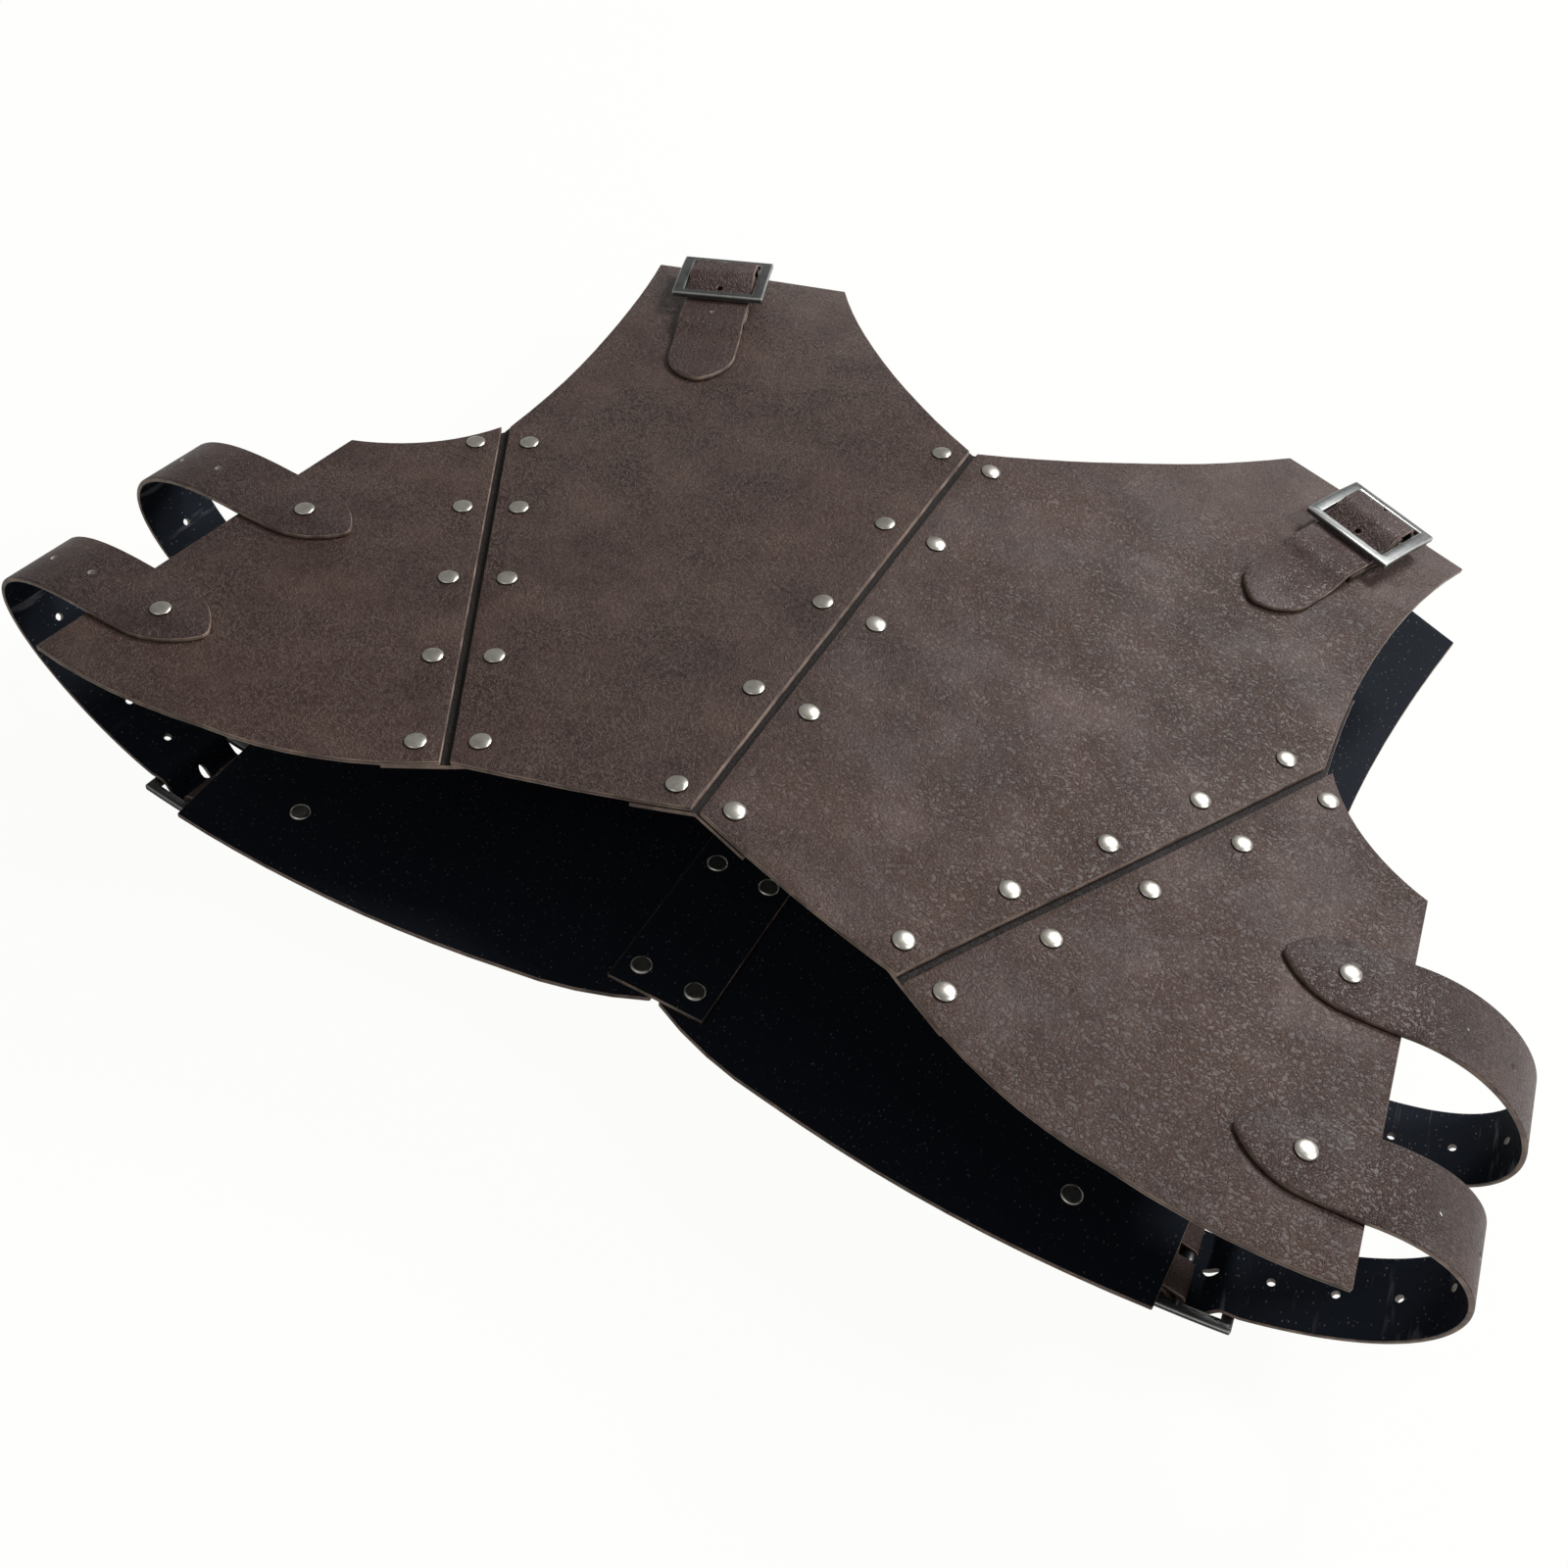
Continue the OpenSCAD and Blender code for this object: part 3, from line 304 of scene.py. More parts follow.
def grained_leather(name, on_uv, dark, ruddy, worn, roughness):
    """Drum-dyed cowhide with a fine natural grain, waxed: low crinkles with a soft sheen"""
    made = new_material(name)
    t = made.node_tree
    where = add(t, "ShaderNodeTexCoord").outputs["UV" if on_uv else "Object"]
    # Clouds of dye about 120 mm and 30 mm across
    cloud = ramp(t, noise_of(t, where, 8, 3), 0.36, 0.64)
    tone = noise_of(t, where, 33, 5, 0.65)
    # Grain of 2 mm pebbles, and short crooked ridges about 2 and 5 mm apart
    pebble = noise_of(t, where, 520, 4, 0.62)
    small = ridges(t, where, 430, 0.07)
    drawn = add(t, "ShaderNodeMapping", {"Vector": where, "Rotation": (0, 0, 0.6), "Scale": (1, 1.9, 1)})
    large = ridges(t, drawn.outputs[0], 190, 0.04, 4)
    # The hide was stretched in patches, and there the ridges stand out
    loose = ramp(t, noise_of(t, where, 26, 3), 0.4, 0.64, 0.3, 1.0)
    crinkle = math_of(t, "MULTIPLY", math_of(t, "MULTIPLY_ADD", large, 0.7, small), loose)
    height = math_of(t, "MULTIPLY_ADD", pebble, 0.9, crinkle)
    grain = add(t, "ShaderNodeBump", {"Height": height, "Strength": 1.0, "Distance": 0.00042})
    sway = add(t, "ShaderNodeBump", {"Height": noise_of(t, where, 45, 3), "Strength": 0.6,
                                     "Distance": 0.0016, "Normal": grain.outputs[0]})
    dyed = blend(t, cloud, dark, ruddy)
    mottled = blend(t, ramp(t, tone, 0.4, 0.75, 0.0, 0.4), dyed, worn)
    flecked = blend(t, ramp(t, pebble, 0.47, 0.7, 0.0, 0.25), mottled, worn)
    rubbed = blend(t, math_of(t, "MULTIPLY", crinkle, 0.62), flecked, worn)
    polish = math_of(t, "MULTIPLY_ADD", tone, 0.6, crinkle)
    rough = ramp(t, polish, 0.0, 1.4, roughness + 0.06, roughness - 0.06)
    shader = add(t, "ShaderNodeBsdfPrincipled", {
        "Base Color": rubbed, "Roughness": rough, "Normal": sway.outputs[0], "Specular IOR Level": 0.4})
    return finish_material(made, shader)


def lining_leather(name, on_uv):
    """Black coated lining: nearly matt, with pores that catch the light and creases where it is bent"""
    made = new_material(name)
    t = made.node_tree
    where = add(t, "ShaderNodeTexCoord").outputs["UV" if on_uv else "Object"]
    # One pore in each cell of 1.6 mm, drawn out to a fleck with a brightness of its own
    drawn = add(t, "ShaderNodeMapping", {"Vector": where, "Rotation": (0, 0, 0.9), "Scale": (1, 0.5, 1)})
    pores = add(t, "ShaderNodeTexVoronoi", {"Vector": drawn.outputs[0], "Scale": 620})
    fleck = ramp(t, pores.outputs["Distance"], 0.07, 0.19, 1.0, 0.0)
    tint = add(t, "ShaderNodeSeparateColor", {"Color": pores.outputs["Color"]})
    shown = math_of(t, "MULTIPLY", fleck, tint.outputs[0])
    grain = noise_of(t, where, 600, 4, 0.6)
    height = math_of(t, "MULTIPLY_ADD", shown, 0.8, grain)
    colour = blend(t, shown, "#1a1e25", "#75767b")
    if on_uv:
        # Creases run across a strap where its loop is tight
        lines = add(t, "ShaderNodeMapping", {"Vector": where, "Scale": (1, 0.12, 1)})
        thread = ramp(t, noise_of(t, lines.outputs[0], 150, 3), 0.6, 0.66)
        fold = add(t, "ShaderNodeAttribute", attribute_name="fold")
        kept = math_of(t, "MULTIPLY", thread, fold.outputs["Fac"])
        height = math_of(t, "MULTIPLY_ADD", kept, 4.0, height)
        colour = blend(t, kept, colour, "#505056")
    bump = add(t, "ShaderNodeBump", {"Height": height, "Strength": 0.5, "Distance": 0.0003})
    shader = add(t, "ShaderNodeBsdfPrincipled", {
        "Base Color": colour, "Roughness": 0.6, "Normal": bump.outputs[0], "Specular IOR Level": 0.04})
    return finish_material(made, shader)


def painted_edge(name, base, rubbed):
    """Cut edge of the hide, dyed and burnished with wax: smooth, a little lighter than the grain"""
    made = new_material(name)
    t = made.node_tree
    where = add(t, "ShaderNodeTexCoord").outputs["Object"]
    colour = blend(t, ramp(t, noise_of(t, where, 90, 5, 0.65), 0.4, 0.66), base, rubbed)
    bump = add(t, "ShaderNodeBump", {"Height": noise_of(t, where, 800), "Strength": 0.3, "Distance": 0.0002})
    shader = add(t, "ShaderNodeBsdfPrincipled", {
        "Base Color": colour, "Roughness": 0.45, "Normal": bump.outputs[0], "Specular IOR Level": 0.4})
    return finish_material(made, shader)


def plated_metal(name, base, stain, roughness, brushed):
    """Plated metal: satin from the tumbling drum, faintly stained, brushed if brushed is over 0"""
    made = new_material(name)
    t = made.node_tree
    where = add(t, "ShaderNodeTexCoord").outputs["Object"]
    colour = blend(t, ramp(t, noise_of(t, where, 160, 5, 0.7), 0.45, 0.75), base, stain)
    drawn = add(t, "ShaderNodeMapping", {"Vector": where, "Scale": (1, 9, 9) if brushed else (1, 1, 1)})
    fine = noise_of(t, drawn.outputs[0], 900)
    bump = add(t, "ShaderNodeBump", {"Height": fine, "Strength": 0.1 + brushed, "Distance": 0.0001})
    shader = add(t, "ShaderNodeBsdfPrincipled", {
        "Base Color": colour, "Metallic": 1.0, "Normal": bump.outputs[0],
        "Roughness": ramp(t, fine, 0.0, 1.0, roughness - 0.07, roughness + 0.1)})
    return finish_material(made, shader)


def raw_fibre(name):
    """Cut fibres in a punched hole: pale, matt and undyed"""
    made = new_material(name)
    t = made.node_tree
    where = add(t, "ShaderNodeTexCoord").outputs["Object"]
    colour = blend(t, noise_of(t, where, 1500), "#7a706a", "#c4bcb4")
    shader = add(t, "ShaderNodeBsdfPrincipled", {"Base Color": colour, "Roughness": 0.85})
    return finish_material(made, shader)


PANEL_GRAIN = grained_leather("grained_cowhide_panel", False, "#251613", "#331e19", "#69544b", 0.45)
STRAP_GRAIN = grained_leather("grained_cowhide_strap", True, "#211311", "#2d1a18", "#604b44", 0.4)
CHAPE_GRAIN = grained_leather("grained_cowhide_thin", False, "#33221f", "#402c27", "#5d4b45", 0.5)
# Strip leather that is dark brown of its own, darkened almost to black as painted shade of the narrow seam
# grooves where it shows
STRIP_GRAIN_AND_GROOVE_SHADE = grained_leather("dark_cowhide_with_painted_groove_shade", False, "#0f0a0a", "#150e0e", "#261b19", 0.7)
PANEL_LINING = lining_leather("black_lining_panel", False)
STRAP_LINING = lining_leather("black_lining_strap", True)
EDGE = painted_edge("burnished_edge", "#5f4e45", "#9a8678")
FIBRE = raw_fibre("punched_fibre")
# Painted contact shade: dark metal for the band round the foot of each rivet cap, next to the leather
RIM_SHADE_METAL = plated_metal("painted_shade_under_cap", "#2b2725", "#161312", 0.6, 0)
NICKEL = plated_metal("satin_nickel_plate", "#ccc8bf", "#a39d93", 0.3, 0)
PEWTER = plated_metal("aged_pewter_plate", "#6e706f", "#505253", 0.36, 0.06)
WORN_PEWTER = plated_metal("pewter_rubbed_bright", "#b6b7b3", "#989996", 0.34, 0)


# Modelling helpers
def deselect():
    bpy.ops.object.select_all(action="DESELECT")


def active():
    return bpy.context.view_layer.objects.active


def pick(obj):
    deselect()
    obj.select_set(True)
    bpy.context.view_layer.objects.active = obj
    return obj


def edit(obj, choose="SELECT"):
    pick(obj)
    bpy.ops.object.mode_set(mode="EDIT")
    bpy.ops.mesh.select_all(action=choose)


def leave():
    bpy.ops.object.mode_set(mode="OBJECT")


def modify(obj, kind, **settings):
    """Adds a modifier and applies it"""
    pick(obj)
    made = obj.modifiers.new(kind.lower(), kind)
    for key, value in settings.items():
        setattr(made, key, value)
    bpy.ops.object.modifier_apply(modifier=made.name)


def round_edges(obj, width, segments, material=-1):
    modify(obj, "BEVEL", width=width * MM, segments=segments, limit_method="ANGLE",
           angle_limit=math.radians(50), use_clamp_overlap=False, loop_slide=False, material=material)


def join(pieces, name):
    deselect()
    for piece in pieces:
        piece.select_set(True)
    bpy.context.view_layer.objects.active = pieces[0]
    if len(pieces) > 1:
        bpy.ops.object.join()
    made = active()
    made.name = name
    return made


def copied(obj, m):
    """A copy with its own mesh, set in a frame"""
    made = obj.copy()
    made.data = obj.data.copy()
    bpy.context.collection.objects.link(made)
    made.data.transform(m)
    return made


def cad_copy(node, name):
    """A copy of a solid with its loose triangles merged"""
    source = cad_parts[node]
    made = source.copy()
    made.data = source.data.copy()
    made.name = name
    made.parent = None
    for key in list(made.keys()):
        del made[key]
    made.data.materials.clear()
    bpy.context.collection.objects.link(made)
    edit(made)
    bpy.ops.mesh.remove_doubles(threshold=0.002 * MM)
    leave()
    return made


def soften(obj, angle=35):
    pick(obj)
    bpy.ops.object.shade_smooth_by_angle(angle=math.radians(angle))


def settle(obj, body, slot, *nodes):
    """The piece rides on its body and stands for its solids, which are hidden. The slot is not used."""
    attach(obj, body)
    if nodes:
        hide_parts(*nodes)


def cut_across(obj, places, way):
    """Divides a mesh by planes square to a direction"""
    edit(obj)
    for place in places:
        bpy.ops.mesh.select_all(action="SELECT")
        bpy.ops.mesh.bisect(plane_co=place, plane_no=way)
    leave()


# Panels and strips: each solid's outline is cut again from a flat hide, then laid in its frame
GROOVE = 0.1
LAYER_T = (PANEL_T - GROOVE) / 2
STRIP_GAP = 0.03
FIELD = 9
CALM_REACH = 48
# Height in millimetres and frequency per metre of the slow and the quick waves
SLOW_WAVE, SLOW_RATE = 0.9, 9
QUICK_WAVE, QUICK_RATE = 0.25, 28
CALM_SPOTS = [m.translation for m in (side_anchor("upper"), side_anchor("lower"), NAPE, SHOULDER_FRAME,
                                      BUCKLE_FRAMES["upper"], BUCKLE_FRAMES["lower"])]


def calm(p):
    """How free the leather is to wave at a point: not where straps and buckles are fastened"""
    free = 1.0
    for spot in CALM_SPOTS:
        d = math.hypot(abs(p[0]) - spot[0], p[1] - spot[1]) / (CALM_REACH * MM)
        free *= 1 - math.exp(-d * d)
    return free


def wave(p, front):
    """Lift of the leather at a point: hides never lie quite flat"""
    shift = 0 if front else 5
    slow = noise.noise(Vector((p[0] * SLOW_RATE + shift, p[1] * SLOW_RATE, shift)))
    quick = noise.noise(Vector((p[0] * QUICK_RATE, p[1] * QUICK_RATE + shift, 2)))
    return (SLOW_WAVE * slow + QUICK_WAVE * quick) * MM * calm(p)


def cut_out(name, corners, thickness):
    """A flat piece of leather cut along an outline, its middle at z = 0"""
    deselect()
    bpy.ops.mesh.primitive_circle_add(vertices=len(corners), radius=1, fill_type="NGON", calc_uvs=False)
    made = active()
    made.name = name
    for v, (x, y) in zip(made.data.vertices, corners):
        v.co = (x * MM, y * MM, thickness / 2 * MM)
    edit(made)
    bpy.ops.mesh.extrude_region_move(TRANSFORM_OT_translate={"value": (0, 0, -thickness * MM)})
    bpy.ops.mesh.select_all(action="SELECT")
    bpy.ops.mesh.normals_make_consistent(inside=False)
    leave()
    return made


# An outer face points outward by more than FACING, and an outline has no side under SHORTEST
FACING = 0.9
SHORTEST = 0.4


def outline_of(node, m, outward):
    """Corners of a solid's outer face in a frame, in millimetres, in order round its outer edge"""
    made = cad_copy(node, "outline")
    shape = bmesh.new()
    shape.from_mesh(made.data)
    beside = {}
    for edge in shape.edges:
        if [face.normal.dot(outward) > FACING for face in edge.link_faces].count(True) == 1:
            a, b = edge.verts
            beside.setdefault(a, []).append(b)
            beside.setdefault(b, []).append(a)
    flat = {v: m.inverted() @ v.co / MM for v in beside}
    start = max(beside, key=lambda v: flat[v].x)
    ring = [start, beside[start][0]]
    while ring[-1] != start:
        a, b = beside[ring[-1]]
        ring.append(b if a == ring[-2] else a)
    corners = [(flat[v].x, flat[v].y) for v in ring[1:]]
    shape.free()
    bpy.data.objects.remove(made)
    return [c for i, c in enumerate(corners) if math.dist(c, corners[i - 1]) > SHORTEST]


def hide(node, m, up, thickness, materials, height):
    """A piece with a solid's outline and rounded edges, laid at a height over a frame's plane"""
    corners = outline_of(node, m, m.col[2].to_3d().normalized() * up)
    made = cut_out("hide", corners, thickness)
    for material in materials:
        made.data.materials.append(material)
    round_edges(made, PANEL_ROUND, 3)
    # Fields of FIELD millimetres, so that the piece can bend
    for axis, way in ((0, Vector((1, 0, 0))), (1, Vector((0, 1, 0)))):
        places = [c[axis] / FIELD for c in corners]
        steps = range(math.ceil(min(places)), math.ceil(max(places)))
        cut_across(made, [way * i * FIELD * MM for i in steps], way)
    for face in made.data.polygons:
        level = face.normal.z
        face.material_index = 0 if level > FLAT else 1 if level < -FLAT else 2
    for v in made.data.vertices:
        v.co = m @ (v.co + Vector((0, 0, height(v.co / MM) * MM)))
    return made


def bent(line, curl):
    return lambda p: on_sheet(p.x, p.y, line, BEND_R, curl).translation.z / MM


def folded(left, right, middle):
    """Two flanges that rise by an angle in degrees on either side of a seam"""
    return lambda p: middle + abs(p.x) * math.tan(math.radians(right if p.x > 0 else left))


def laid(model, name, side, shift, front):
    """A copy of a hide on its side of the body, with the waves of the leather"""
    flip = Matrix.Diagonal((-1, 1, 1, 1)) if side == "left" else Matrix.Identity(4)
    made = copied(model, flip @ Matrix.Translation(shift * MM))
    made.name = name
    if side == "left":
        made.data.flip_normals()
    for v in made.data.vertices:
        v.co.z += wave(v.co, front)
    soften(made)
    return made


def panels():
    """Each panel is a grained layer outside and a black one inside, with a groove between their edges"""
    front_faces, back_faces = (PANEL_GRAIN, PANEL_LINING, EDGE), (PANEL_LINING, PANEL_GRAIN, EDGE)
    for kind, m, front, height in (("chest", CHEST, True, bent(BEND_Y, 1)),
                                   ("side", SIDE, True, bent(BEND_Y, 1)),
                                   ("back", BACK, False, bent(BACK_NECK_Y, -1))):
        up = 1 if front else -1
        model = hide(f"right_{kind}_panel", m, up, LAYER_T, front_faces if front else back_faces, height)
        inward = m.col[2].to_3d().normalized() * -up
        for side in SIDES:
            node = f"{side}_{kind}_panel"
            for layer, depth in (("grain", LAYER_T / 2), ("lining", PANEL_T - LAYER_T / 2)):
                made = laid(model, f"{node}_{layer}", side, inward * depth, front)
                settle(made, "armour", "panel_leather", node)
        bpy.data.objects.remove(model)


def strips():
    over = PANEL_T + STRIP_T / 2 + STRIP_GAP
    under = -over
    # The strips' faces in the seam grooves take the near-black grain, which is partly painted groove shade
    front_faces, back_faces = (STRIP_GRAIN_AND_GROOVE_SHADE, PANEL_LINING, EDGE), (PANEL_LINING, STRIP_GRAIN_AND_GROOVE_SHADE, EDGE)
    for name, sides, m, up, faces, height in (
            ("centre_seam", ("right",), LIE @ move(0, 0, RIDGE_H), 1, front_faces,
             folded(-CHEST_TILT, -CHEST_TILT, under)),
            ("seam", SIDES, CHEST @ SEAM, 1, front_faces, folded(0, SIDE_LIFT, under)),
            ("spine", ("right",), LIE @ move(0, 0, BACK_Z), -1, back_faces,
             folded(-BACK_ROLL, -BACK_ROLL, over))):
        nodes = {side: f"{side}_{name}_strip" if len(sides) > 1 else f"{name}_strip" for side in sides}
        model = hide(nodes["right"], m, up, STRIP_T, faces, height)
        for side, node in nodes.items():
            made = laid(model, node + "_leather", side, Vector(), up > 0)
            settle(made, "armour", "strip_leather", node)
        bpy.data.objects.remove(model)


# Rivets: a domed cap with a dark band of painted contact shade round its foot, a shank and a flat head with
# a turned-down rim
def turned(name, rings):
    """A shape turned about Z from its rings (radius, height), from the bottom up"""
    deselect()
    radius, height = rings[0]
    bpy.ops.mesh.primitive_circle_add(vertices=RIVET_VERTICES, radius=radius * MM, fill_type="NGON",
                                      location=(0, 0, height * MM))
    made = active()
    made.name = name
    bpy.ops.object.transform_apply(location=True)
    edit(made)
    for r, z in rings[1:]:
        bpy.ops.mesh.extrude_region_move(TRANSFORM_OT_translate={"value": (0, 0, (z - height) * MM)})
        bpy.ops.transform.resize(value=(r / radius, r / radius, 1), center_override=(0, 0, z * MM))
        radius, height = r, z
    bpy.ops.mesh.select_all(action="SELECT")
    bpy.ops.mesh.normals_make_consistent(inside=False)
    leave()
    return made


def rivet(name, grip, dome):
    low = -grip
    rings = [(0.6, low - DISC_H + 0.12), (2.6, low - DISC_H + 0.1), (3.3, low - DISC_H),
             (3.9, low - DISC_H + 0.08), (4.3, low - DISC_H * 0.6), (CAP_R, low - 0.15), (CAP_R - 0.15, low),
             (SHANK_R, low), (SHANK_R, 0), (CAP_R - 0.15, 0), (CAP_R, 0.18), (CAP_R - 0.02, 0.4)]
    rings += [(CAP_R * math.cos(w), 0.4 + (dome - 0.4) * math.sin(w))
              for w in [math.radians(10 * i) for i in range(1, 9)]]
    rings.append((0.35, dome - 0.01))
    made = turned(name, rings)
    made.data.materials.append(NICKEL)
    made.data.materials.append(RIM_SHADE_METAL)
    # The band round the cap's foot, next to the leather, is painted contact shade
    for face in made.data.polygons:
        at_rim = face.center.xy.length > (CAP_R - RIM_SHADE_W) * MM
        face.material_index = int(at_rim and 0 < face.center.z < RIM_SHADE_H * MM)
    soften(made, 40)
    return made


def lifted(m, front):
    """A frame moved with the waves of the leather"""
    return Matrix.Translation((0, 0, wave(m.translation, front))) @ m


def rivets():
    seam = rivet("seam_rivet", PANEL_T + STRIP_T, CAP_H)
    belt = rivet("strap_rivet", STRAP_T + PANEL_T, CAP_H)
    fold = rivet("chape_rivet", 2 * CHAPE_T + PANEL_T, DISC_H + 0.2)
    half = ROW_GAP / 2
    groups = {name: [] for name in ("centre_seam_rivets", "right_seam_rivets", "left_seam_rivets",
                                    "spine_rivets", "strap_rivets", "chape_rivets")}
    for side in SIDES:
        for i in range(ROW_COUNT):
            centre = CHEST @ move(half, CENTRE_FIRST - i * CENTRE_PITCH)
            spine = BACK @ move(half, SPINE_FIRST - i * SPINE_PITCH) @ turn("X", 180)
            groups["centre_seam_rivets"].append((seam, lifted(on_side(side, centre), True)))
            groups["spine_rivets"].append((seam, lifted(on_side(side, spine), False)))
            down = SIDE_FIRST - i * SIDE_PITCH
            for m in (CHEST @ SEAM @ move(-half, down), SIDE @ move(half, down)):
                groups[side + "_seam_rivets"].append((seam, lifted(on_side(side, m), True)))
        for m in (side_anchor("upper"), side_anchor("lower"), NAPE):
            groups["strap_rivets"].append((belt, on_side(side, m @ move(0, 0, STRAP_T))))
        for m in (BUCKLE_FRAMES["upper"], BUCKLE_FRAMES["lower"]):
            groups["chape_rivets"].append(
                (fold, on_side(side, m @ move(SIDE_CHAPE_RIVET, 0, 2 * CHAPE_T - BAR_LIFT))))
        groups["chape_rivets"].append(
            (fold, on_side(side, chest_run(SHOULDER_CHAPE_RIVET) @ move(0, 0, 2 * CHAPE_T + AIR))))
    for node, members in groups.items():
        made = join([copied(model, m) for model, m in members], node + "_metal")
        settle(made, "armour", "nickel", node)
    for model in (seam, belt, fold):
        bpy.data.objects.remove(model)


# Straps: cut flat, punched, bevelled, then laid along the line in which they run
def bezier(a, b, c, d, t):
    return a * (1 - t) ** 3 + b * 3 * (1 - t) ** 2 * t + c * 3 * (1 - t) * t * t + d * t ** 3


def threaded_z(x):
    """Height of the strap's middle at a distance from the bar: under the frame's ends, over the bar"""
    t = (RAMP_END - abs(x)) / RAMP_W
    u = t if x < 0 else (RAMP_END - x) / (RAMP_END - CREST_HALF)
    return UNDER_Z + (CREST_Z - UNDER_Z) * (1 - math.cos(math.pi * min(1, max(0, u)))) / 2


def fractions(steps):
    return [i / steps for i in range(1, steps + 1)]


def strap_line(anchor, buckle, front, front_turn, back, back_turn):
    """Middle line from the pointed end to past the buckle: (point, direction across)"""
    mid = STRAP_T / 2
    # Every 5 mm on the panel, starting at the pointed end
    line = [(point(anchor, x, 0, mid), across(anchor)) for x in range(EDGE_RUN - 50, EDGE_RUN + 1, 5)]
    line[0] = (point(anchor, -RIVET_IN, 0, mid), across(anchor))
    a, b = math.radians(front_turn), math.radians(back_turn)
    p0 = point(anchor, EDGE_RUN, 0, mid)
    p1 = point(anchor, EDGE_RUN + front * math.cos(a), 0, mid + front * math.sin(a))
    p2 = point(buckle, -THREAD_IN - back * math.cos(b), 0, UNDER_Z - back * math.sin(b))
    p3 = point(buckle, -THREAD_IN, 0, UNDER_Z)
    w0, w1 = across(anchor), across(buckle)
    line += [(bezier(p0, p1, p2, p3, t), w0.lerp(w1, t).normalized()) for t in fractions(LOOP_STEPS)]
    line += [(point(buckle, x, 0, threaded_z(x)), w1)
             for x in [-THREAD_IN + 2 * THREAD_IN * t for t in fractions(THREAD_STEPS)]]
    return line


def side_line(side, k):
    b = BUCKLE_FRAMES[k]
    return strap_line(side_anchor(k), b, *LOOPS[side, k]) + [
        (point(b, THREAD_IN + (SIDE_TAIL - THREAD_IN) * t, 0, UNDER_Z), across(b))
        for t in fractions(TAIL_STEPS)]


def shoulder_line():
    """The shoulder strap comes down past the folded leather and lies on the chest"""
    line = strap_line(NAPE, SHOULDER_FRAME, *NAPE_LOOP)
    b = SHOULDER_FRAME
    start, land = SHOULDER_CHAPE + LEAVE_PAST, SHOULDER_CHAPE + LAND_PAST
    lie = STRAP_T / 2 + AIR
    line += [(point(b, THREAD_IN + (start - THREAD_IN) * t, 0, UNDER_Z), across(b))
             for t in fractions(CHAPE_STEPS)]
    p0, p1 = point(b, start, 0, UNDER_Z), point(b, start + LANDING_PULL, 0, UNDER_Z)
    p2, p3 = point(chest_run(land - LANDING_PULL), 0, 0, lie), point(chest_run(land), 0, 0, lie)
    w0, w1 = across(b), across(chest_run(land))
    line += [(bezier(p0, p1, p2, p3, t), w0.lerp(w1, t).normalized()) for t in fractions(LANDING_STEPS)]
    for t in fractions(TAIL_STEPS):
        m = chest_run(land + (SHOULDER_TAIL - land) * t)
        line.append((point(m, 0, 0, lie), across(m)))
    return line


def on_left(line):
    flip = Vector((-1, 1, 1))
    return [(p * flip, -(w * flip)) for p, w in line]


def arc_lengths(line):
    total = [0.0]
    for (a, _), (b, _) in zip(line, line[1:]):
        total.append(total[-1] + (b - a).length)
    return total


class Run:
    """A strap's line with its lengths, for laying flat leather along it"""

    def __init__(self, line):
        self.points = [p for p, _ in line]
        self.ways = [w for _, w in line]
        self.lengths = arc_lengths(line)
        last = len(line) - 1
        self.tangents = [(self.points[min(i + 1, last)] - self.points[max(i - 1, 0)]).normalized()
                         for i in range(last + 1)]
        self.length = self.lengths[-1]

    def find(self, s):
        low, high = 0, len(self.lengths) - 2
        while low < high:
            mid = (low + high + 1) // 2
            if self.lengths[mid] <= s:
                low = mid
            else:
                high = mid - 1
        t = (s - self.lengths[low]) / (self.lengths[low + 1] - self.lengths[low])
        return low, t

    def lay(self, co):
        """Where a point of the flat strap goes"""
        i, t = self.find(min(max(co.x, 0.0), self.length))
        tangent = self.tangents[i].lerp(self.tangents[i + 1], t).normalized()
        way = self.ways[i].lerp(self.ways[i + 1], t)
        way = (way - tangent * way.dot(tangent)).normalized()
        middle = self.points[i].lerp(self.points[i + 1], t)
        return middle + way * co.y + tangent.cross(way) * co.z

    def fold(self, s):
        """How sharply the strap bends, 0 where straight to 1 at a radius of FOLD_R"""
        i, _ = self.find(min(max(s, 0.0), self.length))
        a, b = max(i - FOLD_SPAN, 0), min(i + FOLD_SPAN, len(self.points) - 1)
        angle = self.tangents[a].angle(self.tangents[b])
        return min(1.0, angle / (self.lengths[b] - self.lengths[a]) * FOLD_R * MM)


def tip_half(x, length, width):
    """Half width near an end: a small round point between two arcs that run into the straight sides"""
    half, reach = width / 2, length - POINT_R
    r = (reach * reach / (half - POINT_R) + POINT_R + half) / 2
    if x < POINT_R * (1 - reach / (r - POINT_R)):
        return max(BLUNT, math.sqrt(max(0, POINT_R ** 2 - (POINT_R - x) ** 2)))
    return math.sqrt(r * r - (length - x) ** 2) - (r - half)


def strap_outline(length, width):
    def end(tip):
        return [tip * (1 - math.cos(math.radians(9 * i))) for i in range(11)]
    upper = [(x, tip_half(x, POINT_L, width)) for x in end(POINT_L)]
    upper += [(length - x, tip_half(x, ROUND_L, width)) for x in reversed(end(ROUND_L))]
    return upper + [(x, -y) for x, y in reversed(upper)]


def punches(places, slot_at):
    """Round punches for the holes and a long one for the slot, as one cutter"""
    made = []
    for s in places + [slot_at]:
        deselect()
        bpy.ops.mesh.primitive_cylinder_add(vertices=PUNCH_VERTICES, radius=HOLE_R * MM,
                                            depth=4 * STRAP_T * MM, location=(s, 0, 0))
        cutter = active()
        if s == slot_at:
            cutter.scale.x = (SLOT_RUN + HOLE_R) / HOLE_R
        bpy.ops.object.transform_apply(location=True, scale=True)
        made.append(cutter)
    return join(made, "punches")


